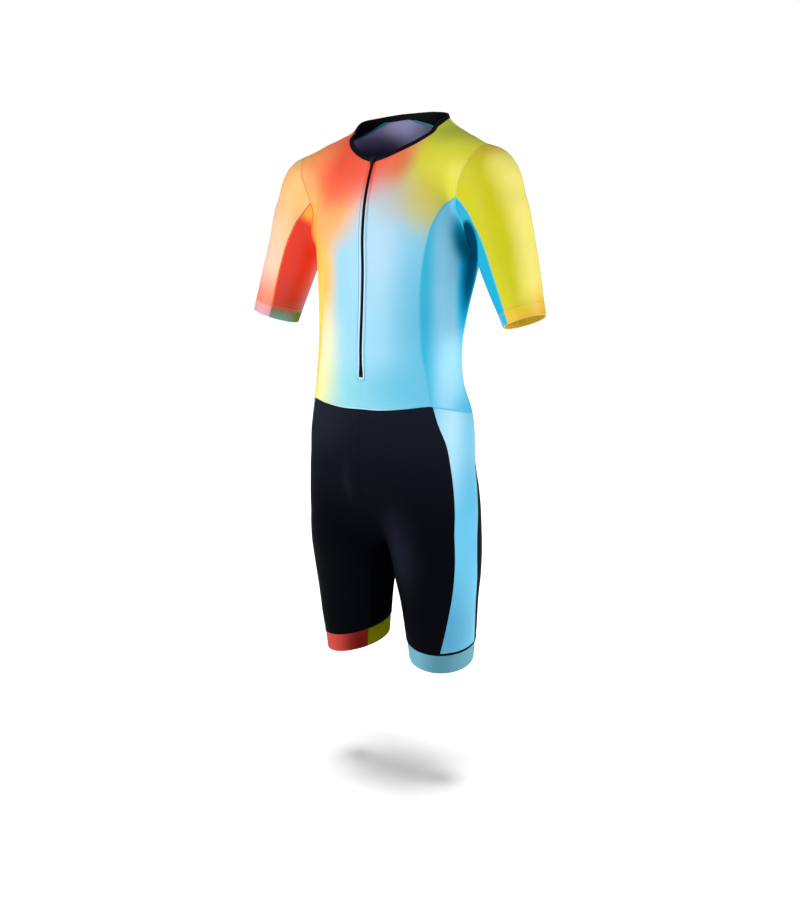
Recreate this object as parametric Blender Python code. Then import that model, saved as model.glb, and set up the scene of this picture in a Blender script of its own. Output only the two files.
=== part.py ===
"""Triathlon suit: short-sleeved, zipped, one-piece cloth suit in the form it has when worn.

Metres, +Z up, the front faces -Y and the wearer's left is +X. The origin lies on the shoulder line,
midway between the two neck-side points. Every cloth panel is a closed wall made between an outer
and an inner skin of a general figure, and each panel ends at its seams.
"""

import bpy
import numpy as np

# ---- driving sizes -----------------------------------------------------------------------------
WALL = 0.0015
SEAM_GAP = 0.0003
# The torso's rings down from the shoulders.
# height, centre_y, half_width, half_depth, squareness
TORSO = (
    (-0.010, 0.016, 0.098, 0.040, 2.1),
    (-0.040, 0.0055, 0.108, 0.066, 2.1),
    (-0.070, 0.005, 0.139, 0.087, 2.2),
    (-0.120, 0.000, 0.146, 0.103, 2.3),
    (-0.180, -0.003, 0.147, 0.110, 2.3),
    (-0.240, -0.010, 0.140, 0.103, 2.3),
    (-0.300, -0.022, 0.133, 0.094, 2.2),
    (-0.360, -0.033, 0.129, 0.087, 2.2),
    (-0.420, -0.036, 0.135, 0.084, 2.2),
    (-0.470, -0.028, 0.146, 0.094, 2.2),
    (-0.530, -0.027, 0.150, 0.102, 2.2),
    (-0.590, -0.027, 0.150, 0.101, 2.1),
    (-0.640, -0.020, 0.145, 0.086, 2.1),
    (-0.690, -0.006, 0.130, 0.058, 2.0),
)
# The neck's rings.
# height, centre_y, half_width, half_depth
NECK = (
    (0.060, 0.0035, 0.077, 0.049),
    (0.000, 0.014, 0.0805, 0.045),
    (-0.080, 0.0045, 0.080, 0.054),
)
# The shoulder beam's sections, outwards from the middle.
# across, centre_y, centre_z, half_y, half_z
YOKE = (
    (0.000, 0.004, -0.061, 0.067, 0.057),
    (0.070, 0.016, -0.0675, 0.062, 0.054),
    (0.110, 0.0055, -0.071, 0.061, 0.054),
    (0.150, -0.006, -0.093, 0.052, 0.060),
    (0.185, -0.015, -0.106, 0.038, 0.042),
)
# The arm's sections, down its axis from the shoulder joint.
# along, half_minor, half_major
ARM = (
    (-0.030, 0.044, 0.045),
    (0.000, 0.048, 0.045),
    (0.050, 0.0535, 0.053),
    (0.110, 0.0495, 0.0485),
    (0.170, 0.0435, 0.0455),
    (0.230, 0.0355, 0.0425),
    (0.280, 0.0330, 0.0410),
)
SHOULDER_JOINT = (0.1695, -0.013, -0.0955)
CUFF_CENTRE = (0.2470, -0.0265, -0.3180)
ARM_TWIST = 30.0
# The left leg's rings.
# height, centre_x, centre_y, half_x, half_y
LEG = (
    (-0.580, 0.080, -0.014, 0.058, 0.080),
    (-0.640, 0.080, -0.016, 0.071, 0.096),
    (-0.700, 0.082, -0.014, 0.074, 0.094),
    (-0.750, 0.084, -0.011, 0.072, 0.084),
    (-0.800, 0.0865, -0.009, 0.065, 0.075),
    (-0.850, 0.088, -0.006, 0.060, 0.071),
    (-0.900, 0.088, -0.003, 0.0555, 0.066),
    (-0.960, 0.088, -0.001, 0.052, 0.062),
)

# Seams on the torso: turn in degrees from the front, about an upright line at this along_y.
TORSO_LINE_Y = -0.015
# turn, height
NECKLINE = (
    (0.0, -0.0675),
    (20.0, -0.0605),
    (40.0, -0.0505),
    (60.0, -0.038),
    (80.0, -0.021),
    (100.0, 0.000),
    (130.0, 0.012),
    (155.0, 0.017),
    (180.0, 0.018),
)
SHOULDER_TURN = 104.0
# turn, height
WAIST = (
    (0.0, -0.463),
    (20.0, -0.463),
    (40.0, -0.459),
    (58.0, -0.455),
    (72.0, -0.461),
    (90.0, -0.470),
    (112.0, -0.477),
    (145.0, -0.482),
    (180.0, -0.484),
)
WAIST_FRONT_TURN, WAIST_BACK_TURN = 58.0, 103.0
# height, turn
PRINCESS = (
    (-0.134, 68.5),
    (-0.144, 65.0),
    (-0.167, 59.0),
    (-0.196, 55.0),
    (-0.230, 52.5),
    (-0.268, 51.0),
    (-0.334, 51.0),
    (-0.377, 52.0),
    (-0.411, 55.0),
    (-0.455, 58.0),
)
# height, turn
BACK_SEAM = (
    (-0.140, 117.5),
    (-0.170, 121.5),
    (-0.220, 125.5),
    (-0.300, 126.0),
    (-0.380, 118.0),
    (-0.430, 109.5),
    (-0.4745, 103.0),
)
# The left armhole, from the back over the shoulder to the front and under the arm.
# turn, across, along_y, height
ARMHOLE = (
    (-110.0, 0.1400, 0.052, -0.122),
    (-80.0, 0.1460, 0.050, -0.100),
    (-50.0, 0.1560, 0.043, -0.076),
    (-25.0, 0.1680, 0.022, -0.050),
    (0.0, 0.1745, -0.006, -0.040),
    (20.0, 0.1725, -0.024, -0.0425),
    (42.0, 0.1640, -0.051, -0.062),
    (65.0, 0.1550, -0.0625, -0.085),
    (88.0, 0.1460, -0.063, -0.106),
    (110.0, 0.1410, -0.060, -0.125),
    (128.0, 0.1385, -0.0555, -0.143),
    (144.0, 0.1460, -0.050, -0.160),
    (160.0, 0.1580, -0.036, -0.186),
    (180.0, 0.1530, -0.006, -0.205),
    (200.0, 0.1550, 0.022, -0.190),
    (218.0, 0.1460, 0.040, -0.162),
    (234.0, 0.1385, 0.048, -0.142),
    (250.0, 0.1400, 0.052, -0.122),
)
ARMHOLE_TOP, ARMHOLE_FRONT, ARMHOLE_BACK = -8.0, 110.0, 250.0
# The front sleeve seam down the arm; the back one mirrors it about the underarm's turn.
UNDERARM_TURN = 212.0
# along, turn
SLEEVE_SEAM = (
    (0.060, 145.0),
    (0.100, 138.0),
    (0.150, 137.0),
    (0.200, 139.0),
    (0.245, 142.0),
)
CUFF_HEIGHT = 0.020
# Seams of the shorts.
# height, across, along_y
STRIPE_FRONT = (
    (-0.455, 0.116, -0.088),
    (-0.4805, 0.124, -0.086),
    (-0.519, 0.1355, -0.076),
    (-0.562, 0.1415, -0.070),
    (-0.618, 0.148, -0.067),
    (-0.671, 0.149, -0.066),
    (-0.726, 0.145, -0.062),
    (-0.782, 0.1375, -0.0595),
    (-0.828, 0.129, -0.061),
    (-0.890, 0.115, -0.0635),
)
STRIPE_REAR = (
    (-0.4745, 0.145, 0.018),
    (-0.530, 0.150, 0.011),
    (-0.590, 0.153, 0.004),
    (-0.650, 0.153, -0.001),
    (-0.720, 0.152, -0.002),
    (-0.795, 0.146, 0.004),
    (-0.900, 0.138, 0.016),
)
INNER_FRONT = (
    (-0.699, 0.000, -0.046),
    (-0.708, 0.012, -0.060),
    (-0.735, 0.0225, -0.060),
    (-0.793, 0.0315, -0.052),
    (-0.890, 0.040, -0.040),
)
INNER_BACK = (
    (-0.688, 0.000, 0.046),
    (-0.702, 0.008, 0.062),
    (-0.730, 0.020, 0.068),
    (-0.790, 0.030, 0.058),
    (-0.890, 0.034, 0.054),
)
CENTRE_FRONT = (
    (-0.463, 0.000, -0.122),
    (-0.530, 0.000, -0.130),
    (-0.600, 0.000, -0.124),
    (-0.650, 0.000, -0.097),
    (-0.680, 0.000, -0.073),
    (-0.699, 0.000, -0.046),
)
CENTRE_BACK = (
    (-0.484, 0.000, 0.068),
    (-0.550, 0.000, 0.076),
    (-0.610, 0.000, 0.076),
    (-0.660, 0.000, 0.064),
    (-0.688, 0.000, 0.046),
)
# The thigh band's upper edge dips to the front and to the outside.
BAND_TOP, BAND_DIP_FRONT, BAND_DIP_OUT = -0.868, 0.13, 0.15
BAND_HEIGHT = 0.036
BAND_SINK = 0.0012
# How many pieces each seam is cut into
FRONT_ROWS, NECK_ROWS, SLEEVE_ROWS, THIGH_ROWS, RISE_ROWS = 16, 6, 10, 8, 10
FRONT_COLS, SIDE_COLS, UNDER_COLS, BACK_COLS, CROTCH_COLS, NAPE_COLS = 8, 6, 6, 12, 5, 4
# The zip
ZIP_HALF, ZIP_END = 0.0037, -0.405
CHAIN_HALF, CHAIN_OUT, CHAIN_IN = 0.0034, 0.0004, 0.0014
TAPE_IN, TAPE_OUT, TAPE_THICK = 0.0045, 0.0125, 0.0006
BINDING_HEIGHT, BINDING_OUT, BINDING_IN = 0.0075, 0.0006, 0.0021
FACING_GAP, FACING_THICK, FACING_NARROW, FACING_DEEP = 0.0010, 0.0009, 0.35, 2.4
# The slider and its tab, in a frame of their own: up along the zip, out off the cloth.
SLIDER_HALF, SLIDER_LENGTH, SLIDER_LOW, SLIDER_HIGH = 0.0038, 0.0092, 0.0008, 0.0022
SLIDER_HEIGHT = -0.0615
PIN_UP, PIN_OUT = 0.0006, 0.0037
ARCH_INNER, ARCH_OUTER, ARCH_HALF = 0.00135, 0.00225, 0.0008
TAB_LENGTH, TAB_HALF, TAB_THICK = 0.0140, 0.0023, 0.0014
WINDOW_HALF, WINDOW_LENGTH = 0.00115, 0.0026


# ---- the figure --------------------------------------------------------------------------------
def smooth_column(table, column, at):
    """A column of a table at any place down its first column, as a cubic through its rows."""
    places = np.array([row[0] for row in table], float)
    values = np.array([row[column] for row in table], float)
    if places[0] > places[-1]:
        places, values = places[::-1], values[::-1]
    slopes = np.gradient(values, places)
    place = np.clip(at, places[0], places[-1])
    row = np.clip(np.searchsorted(places, place, side="right") - 1, 0, len(places) - 2)
    span = places[row + 1] - places[row]
    s = (place - places[row]) / span
    return (
        (1 + 2 * s) * (1 - s) ** 2 * values[row]
        + s * (1 - s) ** 2 * span * slopes[row]
        + s * s * (3 - 2 * s) * values[row + 1]
        + s * s * (s - 1) * span * slopes[row + 1]
    )


def soft_min(a, b, reach):
    """The smaller of two fields, blended where they are within reach of each other."""
    mix = np.clip(0.5 + 0.5 * (b - a) / reach, 0, 1)
    return b * (1 - mix) + a * mix - reach * mix * (1 - mix)


def soft_max(a, b, reach):
    return -soft_min(-a, -b, reach)


def ring_distance(x, y, half_x, half_y, square):
    reach = np.hypot(x, y) + 1e-9
    away = (np.abs(x / half_x) ** square + np.abs(y / half_y) ** square) ** (1 / square)
    return reach - reach / (away + 1e-9 / half_x)


def torso_field(p):
    z = p[..., 2]
    centre, width, depth, square = (smooth_column(TORSO, k, z) for k in (1, 2, 3, 4))
    ring = ring_distance(p[..., 0], p[..., 1] - centre, width, depth, square)
    ring = soft_max(ring, z - TORSO[0][0], 0.03)
    return soft_max(ring, TORSO[-1][0] - z, 0.03)


def neck_field(p):
    z = p[..., 2]
    centre, width, depth = (smooth_column(NECK, k, z) for k in (1, 2, 3))
    ring = ring_distance(p[..., 0], p[..., 1] - centre, width, depth, 2.0)
    ring = soft_max(ring, NECK[-1][0] - 0.04 - z, 0.02)
    return soft_max(ring, z - 0.10, 0.02)


def yoke_field(p):
    x = np.abs(p[..., 0])
    centre_y, centre_z, half_y, half_z = (smooth_column(YOKE, k, x) for k in (1, 2, 3, 4))
    ring = ring_distance(p[..., 1] - centre_y, p[..., 2] - centre_z, half_y, half_z, 2.0)
    return soft_max(ring, x - YOKE[-1][0], 0.03)


def arm_frame():
    """The left arm's axis, its section's minor and major axes, and its length."""
    along = np.subtract(CUFF_CENTRE, SHOULDER_JOINT)
    length = np.linalg.norm(along)
    along = along / length
    twist = np.radians(ARM_TWIST)
    minor = np.array([np.cos(twist), np.sin(twist), 0.0])
    minor = minor - along * (minor @ along)
    minor = minor / np.linalg.norm(minor)
    return along, minor, np.cross(along, minor), length


def arm_field(p):
    along, minor, major, _ = arm_frame()
    q = np.concatenate([np.abs(p[..., :1]), p[..., 1:]], -1) - SHOULDER_JOINT
    place = q @ along
    half_minor, half_major = (smooth_column(ARM, k, place) for k in (1, 2))
    tube = soft_max(ring_distance(q @ minor, q @ major, half_minor, half_major, 2.0), -place, 0.03)
    return soft_min(tube, np.linalg.norm(q, axis=-1) - 0.052, 0.02)


def leg_field(p, side):
    z = p[..., 2]
    centre_x, centre_y, half_x, half_y = (smooth_column(LEG, k, z) for k in (1, 2, 3, 4))
    ring = ring_distance(p[..., 0] * side - centre_x, p[..., 1] - centre_y, half_x, half_y, 2.0)
    return soft_max(ring, z - LEG[0][0], 0.03)


def figure_field(p):
    """Signed distance, roughly, to the general figure: below zero inside."""
    body = soft_min(torso_field(p), yoke_field(p), 0.035)
    body = soft_min(body, neck_field(p), 0.028)
    body = soft_min(body, arm_field(p), 0.020)
    legs = soft_min(leg_field(p, 1), leg_field(p, -1), 0.012)
    return soft_min(body, legs, 0.035)


def field_slope(p, step=2e-4):
    slope = np.empty_like(p)
    for k in range(3):
        shift = np.zeros(3)
        shift[k] = step
        slope[..., k] = (figure_field(p + shift) - figure_field(p - shift)) / (2 * step)
    return slope


def normals(p):
    slope = field_slope(p)
    return slope / np.linalg.norm(slope, axis=-1, keepdims=True)


def settle(p, rounds=8):
    """Points moved along the field's slope onto the figure."""
    for _ in range(rounds):
        slope = field_slope(p)
        size = np.maximum((slope * slope).sum(-1), 1e-9)
        p = p - slope * (figure_field(p) / size)[..., None]
    return p


def cast(origin, direction, far=0.35, steps=70):
    """Where rays from inside the figure first leave it."""
    direction = direction / np.linalg.norm(direction, axis=-1, keepdims=True)
    reach = np.linspace(0, far, steps)
    values = np.stack([figure_field(origin + direction * t) for t in reach], -1)
    first = np.maximum(np.argmax(values >= 0, axis=-1), 1)
    near, beyond = reach[first - 1], reach[first]
    for _ in range(24):
        middle = 0.5 * (near + beyond)
        value = figure_field(origin + direction * middle[..., None])
        near = np.where(value < 0, middle, near)
        beyond = np.where(value < 0, beyond, middle)
    return origin + direction * (0.5 * (near + beyond))[..., None]


# ---- seams -------------------------------------------------------------------------------------
MIRROR = np.array([-1.0, 1.0, 1.0])


def even(points, count):
    """The same line cut into equal lengths."""
    steps = np.linalg.norm(np.diff(points, axis=0), axis=1)
    along = np.concatenate([[0.0], np.cumsum(steps)])
    wanted = np.linspace(0.0, along[-1], count + 1)
    return np.stack([np.interp(wanted, along, points[:, k]) for k in range(3)], -1)


def chain_of(*lines):
    """Lines that follow each other, each starting at the last point of the one before."""
    return np.concatenate([lines[0]] + [line[1:] for line in lines[1:]])


def on_torso(turn, height):
    turn, height = np.broadcast_arrays(np.radians(turn), height)
    origin = np.stack([0 * height, 0 * height + TORSO_LINE_Y, height], -1)
    return cast(origin, np.stack([np.sin(turn), -np.cos(turn), 0 * turn], -1))


def on_arm(along, turn):
    axis, minor, major, _ = arm_frame()
    along, turn = np.broadcast_arrays(along, np.radians(turn))
    origin = np.array(SHOULDER_JOINT) + along[..., None] * axis
    return cast(origin, np.cos(turn)[..., None] * minor + np.sin(turn)[..., None] * major, far=0.10)


def table_line(table):
    """A seam down a table of height, across and along_y, settled on the figure."""
    height = np.linspace(table[0][0], table[-1][0], 160)
    across, along_y = (smooth_column(table, k, height) for k in (1, 2))
    return settle(np.stack([across, along_y, height], -1))


def ring_line(table, first, last, count):
    """A seam round the torso, from one turn to another."""
    turn = np.linspace(first, last, 120)
    return settle(even(on_torso(turn, smooth_column(table, 1, turn)), count))


def upright_line(table, start, end, count):
    """A seam down the torso from a start point to an end point."""
    height = np.linspace(table[0][0], table[-1][0], 120)
    line = on_torso(smooth_column(table, 1, height), height)
    line = settle(even(np.concatenate([start[None], line[1:-1], end[None]]), count))
    line[0], line[-1] = start, end
    return line


def armhole(first, last, count):
    turn = np.linspace(first, last, 120)
    line = np.stack([smooth_column(ARMHOLE, k, turn) for k in (1, 2, 3)], -1)
    return settle(even(settle(line), count))


def back_turn(front_turn):
    return 2 * UNDERARM_TURN - front_turn


def sleeve_seam(start, front, count):
    """The front or back sleeve seam, from the armhole down to the hem band."""
    length = arm_frame()[3]
    along = np.linspace(SLEEVE_SEAM[0][0] + (0.0 if front else 0.03), length - CUFF_HEIGHT, 80)
    turn = smooth_column(SLEEVE_SEAM, 1, along)
    line = on_arm(along, turn if front else back_turn(turn))
    return np.concatenate([settle(even(chain_of(start[None], line), count))[:-1], line[-1:]])


def cuff_ring(along, first, last, count):
    return even(on_arm(along, np.linspace(first, last, 120)), count)


def thigh_centre():
    return np.array([smooth_column(LEG, k, BAND_TOP) for k in (1, 2)])


def band_top(x, y):
    """Height of the thigh band's upper edge on the left leg."""
    centre = thigh_centre()
    return BAND_TOP + BAND_DIP_FRONT * (y - centre[1]) - BAND_DIP_OUT * (x - centre[0])


def thigh_ring(first, last, count, drop=0.0):
    """Points round the left thigh on the band's upper plane, or that plane moved down."""
    turn = np.radians(np.linspace(first, last, 90))
    centre = thigh_centre()
    direction = np.stack([np.sin(turn), -np.cos(turn), 0 * turn], -1)
    points = np.array([centre[0], centre[1], 0.0]) + 0.06 * direction
    for _ in range(4):
        origin = np.stack([0 * turn + centre[0], 0 * turn + centre[1],
                           band_top(points[:, 0], points[:, 1]) - drop], -1)
        points = cast(origin, direction, far=0.14, steps=30)
    return even(points, count)


def thigh_turn(point):
    centre = thigh_centre()
    return np.degrees(np.arctan2(point[0] - centre[0], centre[1] - point[1])) % 360


def line_to_band(table, start):
    """A seam of the shorts from a start point down to the band's upper edge."""
    line = table_line(table)
    line = line[line[:, 2] > band_top(line[:, 0], line[:, 1])]
    turn = thigh_turn(line[-1])
    return np.concatenate([start[None], line[1:-1], thigh_ring(turn, turn + 0.5, 1)[:1]])


def crotch_line(count):
    """The crotch seam on the middle plane, from the front to the back."""
    _, _, front_y = INNER_FRONT[0]
    _, _, back_y = INNER_BACK[0]
    y = np.linspace(front_y, back_y, 60)
    lift = np.linspace(INNER_FRONT[0][0], INNER_BACK[0][0], 60)
    line = settle(np.stack([0 * y, y, lift - 0.004], -1))
    return settle(even(line, count))


def zip_line(pit):
    """The front's middle edge from the waist seam up to the neck: it opens for the zip."""
    closed = np.linspace(WAIST[0][1], ZIP_END - 0.004, 3)
    opened = np.linspace(ZIP_END - 0.0015, pit[2], FRONT_ROWS - 2)
    height = np.concatenate([closed, opened])
    offset = np.concatenate([0 * closed, 0 * opened + ZIP_HALF])
    origin = np.stack([offset, 0 * height + TORSO_LINE_Y, height], -1)
    line = cast(origin, np.broadcast_to(np.array([0.0, -1.0, 0.0]), origin.shape))
    line[-1] = pit
    return line


def left_seams():
    """The seams of the left half; panels that meet at a seam share its points."""
    seam = {}
    seam["waist_front"] = ring_line(WAIST, 0.0, WAIST_FRONT_TURN, FRONT_COLS)
    seam["waist_side"] = ring_line(WAIST, WAIST_FRONT_TURN, WAIST_BACK_TURN, SIDE_COLS)
    seam["waist_back"] = ring_line(WAIST, WAIST_BACK_TURN, 180.0, BACK_COLS)
    seam["waist_side"][0] = seam["waist_front"][-1]
    seam["waist_back"][0] = seam["waist_side"][-1]
    seam["waist_back"][-1, 0] = seam["waist_front"][0, 0] = 0.0
    seam["armhole_front"] = armhole(ARMHOLE_FRONT, ARMHOLE_TOP, NECK_ROWS)
    seam["armhole_back"] = armhole(ARMHOLE_TOP, ARMHOLE_BACK - 360.0, NECK_ROWS)
    seam["armhole_under"] = armhole(ARMHOLE_FRONT, ARMHOLE_BACK, UNDER_COLS)
    front_point, back_point = seam["armhole_front"][0], seam["armhole_back"][-1]
    seam["armhole_back"][0] = seam["armhole_front"][-1]
    seam["armhole_under"][0], seam["armhole_under"][-1] = front_point, back_point
    seam["princess"] = upright_line(PRINCESS, front_point, seam["waist_front"][-1], FRONT_ROWS)
    seam["back_seam"] = upright_line(BACK_SEAM, back_point, seam["waist_back"][0], FRONT_ROWS)
    pit_turn = np.degrees(np.arctan2(ZIP_HALF, 0.069))
    seam["neck_front"] = ring_line(NECKLINE, pit_turn, SHOULDER_TURN, NECK_ROWS)
    seam["neck_back"] = ring_line(NECKLINE, SHOULDER_TURN, 180.0, NAPE_COLS)
    seam["neck_back"][0] = seam["neck_front"][-1]
    seam["neck_back"][-1, 0] = 0.0
    shoulder = np.linspace(seam["neck_front"][-1], seam["armhole_front"][-1], 60)
    seam["shoulder"] = settle(even(settle(shoulder), FRONT_COLS))
    seam["shoulder"][0], seam["shoulder"][-1] = seam["neck_front"][-1], seam["armhole_front"][-1]
    seam["zip"] = zip_line(seam["neck_front"][0])
    seam["sleeve_front"] = sleeve_seam(front_point, True, SLEEVE_ROWS)
    seam["sleeve_back"] = sleeve_seam(back_point, False, SLEEVE_ROWS)
    length = arm_frame()[3]
    cuff_top = length - CUFF_HEIGHT
    front_turn = smooth_column(SLEEVE_SEAM, 1, cuff_top)
    rear_turn = back_turn(front_turn)
    seam["cuff_outer"] = cuff_ring(cuff_top, front_turn, rear_turn - 360.0, 2 * NECK_ROWS)
    seam["cuff_inner"] = cuff_ring(cuff_top, rear_turn, front_turn, UNDER_COLS)
    seam["cuff_outer"][0] = seam["cuff_inner"][-1] = seam["sleeve_front"][-1]
    seam["cuff_outer"][-1] = seam["cuff_inner"][0] = seam["sleeve_back"][-1]
    hem = cuff_ring(length, front_turn, rear_turn - 360.0, 2 * NECK_ROWS)
    seam["cuff_hem"] = chain_of(hem, cuff_ring(length, rear_turn, front_turn, UNDER_COLS))
    add_shorts_seams(seam)
    return seam


def add_shorts_seams(seam):
    rows = THIGH_ROWS + RISE_ROWS
    crotch = crotch_line(CROTCH_COLS)
    crotch[:, 0] = 0.0
    seam["crotch"] = crotch
    for name, table, start, count in (
        ("stripe_front", STRIPE_FRONT, seam["waist_front"][-1], rows),
        ("stripe_rear", STRIPE_REAR, seam["waist_back"][0], rows),
        ("inner_front", INNER_FRONT, crotch[0], THIGH_ROWS),
        ("inner_back", INNER_BACK, crotch[-1], THIGH_ROWS),
    ):
        line = line_to_band(table, start)
        seam[name] = settle(even(line, count))
        seam[name][0], seam[name][-1] = start, line[-1]
    for name, table, start, end in (
        ("centre_front", CENTRE_FRONT, seam["waist_front"][0], crotch[0]),
        ("centre_back", CENTRE_BACK, seam["waist_back"][-1], crotch[-1]),
    ):
        seam[name] = settle(even(table_line(table), RISE_ROWS))
        seam[name][0], seam[name][-1] = start, end
        seam[name][:, 0] = 0.0
    turns = {
        name: thigh_turn(seam[name][-1])
        for name in ("stripe_front", "stripe_rear", "inner_front", "inner_back")
    }
    sections = (
        ("front", turns["inner_front"] - 360.0, turns["stripe_front"], FRONT_COLS),
        ("side", turns["stripe_front"], turns["stripe_rear"], SIDE_COLS),
        ("back", turns["stripe_rear"], turns["inner_back"], BACK_COLS),
        ("inner", turns["inner_back"], turns["inner_front"], CROTCH_COLS),
    )
    for name, first, last, count in sections:
        seam["thigh_" + name] = thigh_ring(first, last, count)
        seam["hem_" + name] = thigh_ring(first, last, count, BAND_HEIGHT)
    corners = (("front", "side", "stripe_front"), ("side", "back", "stripe_rear"),
               ("back", "inner", "inner_back"), ("inner", "front", "inner_front"))
    for before, after, line in corners:
        seam["thigh_" + before][-1] = seam["thigh_" + after][0] = seam[line][-1]
        seam["hem_" + before][-1] = seam["hem_" + after][0]


# ---- panels ------------------------------------------------------------------------------------
def patch(bottom, top, left, right):
    """A grid of points between four seams that meet at their ends, rows from bottom to top."""
    u = np.linspace(0, 1, len(bottom))[None, :, None]
    v = np.linspace(0, 1, len(left))[:, None, None]
    across = (1 - u) * left[:, None] + u * right[:, None]
    upwards = (1 - v) * bottom[None] + v * top[None]
    corners = (1 - v) * ((1 - u) * bottom[0] + u * bottom[-1]) + v * ((1 - u) * top[0] + u * top[-1])
    grid = across + upwards - corners
    grid[1:-1, 1:-1] = settle(grid[1:-1, 1:-1], rounds=14)
    grid[0], grid[-1], grid[:, 0], grid[:, -1] = bottom, top, left, right
    return grid


def border(rows, cols):
    """Row and column of the grid's border points, anticlockwise seen from outside."""
    row = [0] * (cols - 1) + list(range(rows - 1)) + [rows - 1] * (cols - 1) + list(range(rows - 1, 0, -1))
    col = list(range(cols - 1)) + [cols - 1] * (rows - 1) + list(range(cols - 1, 0, -1)) + [0] * (rows - 1)
    return np.array(row), np.array(col)


def borders(rows, cols, ring):
    if not ring:
        return [border(rows, cols)]
    around = np.arange(cols)
    return [(0 * around, around), (0 * around + rows - 1, around[::-1])]


def unit(vectors):
    return vectors / np.maximum(np.linalg.norm(vectors, axis=-1, keepdims=True), 1e-12)


def drawn_in(grid, normal, ring, amount=SEAM_GAP / 2):
    """The grid with its borders drawn in by half a seam's gap, mitred at the corners."""
    moved = grid.copy()
    for row, col in borders(*grid.shape[:2], ring):
        point, out = grid[row, col], normal[row, col]
        after = unit(np.cross(out, np.roll(point, -1, axis=0) - point))
        before = unit(np.cross(out, point - np.roll(point, 1, axis=0)))
        share = 1 + np.maximum((after * before).sum(-1, keepdims=True), -0.6)
        moved[row, col] = point + (after + before) / share * amount
    return moved


def halved(quads, points):
    """Each four-sided face as two triangles, cut along its shorter diagonal."""
    first = np.linalg.norm(points[quads[:, 0]] - points[quads[:, 2]], axis=-1)
    second = np.linalg.norm(points[quads[:, 1]] - points[quads[:, 3]], axis=-1)
    by_first = (first < second)[:, None]
    lower = np.where(by_first, quads[:, [0, 1, 2]], quads[:, [0, 1, 3]])
    upper = np.where(by_first, quads[:, [0, 2, 3]], quads[:, [1, 2, 3]])
    return np.concatenate([lower, upper])


def wall(grid, out=0.0, depth=WALL, ring=False, gap=SEAM_GAP / 2):
    """A closed wall from out above the grid to depth below it, as points and faces.

    The diagonals are chosen on the seam's own points, so panels that share a seam match along it.
    """
    normal = normals(grid)
    base = drawn_in(grid, normal, ring, gap) if gap else grid
    rows, cols = grid.shape[:2]
    out, depth = (np.broadcast_to(np.asarray(k, float), (rows, cols))[..., None] for k in (out, depth))
    points = np.concatenate([(base + normal * out).reshape(-1, 3), (base - normal * depth).reshape(-1, 3)])
    shared = np.concatenate([grid.reshape(-1, 3), (grid - normal * WALL).reshape(-1, 3)])
    index = np.arange(rows * cols).reshape(rows, cols)
    if ring:
        index = np.concatenate([index, index[:, :1]], axis=1)
    quads = np.stack([index[:-1, :-1], index[:-1, 1:], index[1:, 1:], index[1:, :-1]], -1).reshape(-1, 4)
    skin = halved(quads, shared)
    faces = [skin, skin[:, ::-1] + rows * cols]
    for row, col in borders(rows, cols, ring):
        here = row * cols + col
        there = np.roll(here, -1)
        side = np.stack([there, here, here + rows * cols, there + rows * cols], -1)
        faces.append(halved(side, shared))
    return points, np.concatenate(faces)


def mirrored(grid):
    return grid[:, ::-1] * MIRROR


def left_grids(seam):
    """The left half's panels, and the back, as grids of points."""
    up = {name: line[::-1] for name, line in seam.items()}
    grids = {}
    grids["front"] = patch(
        seam["waist_front"],
        seam["shoulder"],
        chain_of(seam["zip"], seam["neck_front"]),
        chain_of(up["princess"], seam["armhole_front"]),
    )
    grids["side"] = patch(seam["waist_side"], seam["armhole_under"], up["princess"], up["back_seam"])
    back_edge = chain_of(up["back_seam"], up["armhole_back"])
    back_waist = chain_of(seam["waist_back"], up["waist_back"] * MIRROR)
    half_top = chain_of(up["shoulder"], seam["neck_back"])
    back_top = chain_of(half_top, half_top[::-1] * MIRROR)
    grids["back"] = patch(back_waist, back_top, back_edge, back_edge * MIRROR)
    sleeve_top = chain_of(seam["armhole_front"], seam["armhole_back"])
    grids["sleeve"] = patch(seam["cuff_outer"], sleeve_top, up["sleeve_front"], up["sleeve_back"])
    grids["underarm"] = patch(
        seam["cuff_inner"], up["armhole_under"], up["sleeve_back"], up["sleeve_front"]
    )
    grids["leg_front"] = patch(
        seam["thigh_front"],
        seam["waist_front"],
        chain_of(up["inner_front"], up["centre_front"]),
        up["stripe_front"],
    )
    grids["stripe"] = patch(seam["thigh_side"], seam["waist_side"], up["stripe_front"], up["stripe_rear"])
    grids["leg_back"] = patch(
        seam["thigh_back"],
        seam["waist_back"],
        up["stripe_rear"],
        chain_of(up["inner_back"], up["centre_back"]),
    )
    grids["leg_inner"] = patch(seam["thigh_inner"], up["crotch"], up["inner_back"], up["inner_front"])
    return grids


def band_grid(seam, names):
    """A thigh band's piece: its hem and its upper edge, with a row between them."""
    top = chain_of(*(seam["thigh_" + name] for name in names))
    hem = chain_of(*(seam["hem_" + name] for name in names))
    return np.stack([hem, 0.5 * (hem + top), top])


def cuff_grid(seam):
    top = chain_of(seam["cuff_outer"], seam["cuff_inner"])[:-1]
    hem = seam["cuff_hem"][:-1]
    return np.stack([hem, 0.5 * (hem + top), top])


def neck_seam(seam):
    """The neckline from the left side of the zip round the nape to the right side."""
    half = chain_of(seam["neck_front"], seam["neck_back"])
    return chain_of(half, half[::-1] * MIRROR)


def binding_grid(seam):
    """The binding's rows up the neck from the neckline."""
    edge = neck_seam(seam)
    out = normals(edge)
    along = unit(np.gradient(edge, axis=0))
    upward = unit(np.cross(out, along))
    top = settle(edge + BINDING_HEIGHT * upward)
    top[0, 0], top[-1, 0] = edge[0, 0], edge[-1, 0]
    return np.stack([edge, settle(0.5 * (edge + top)), top])


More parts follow.
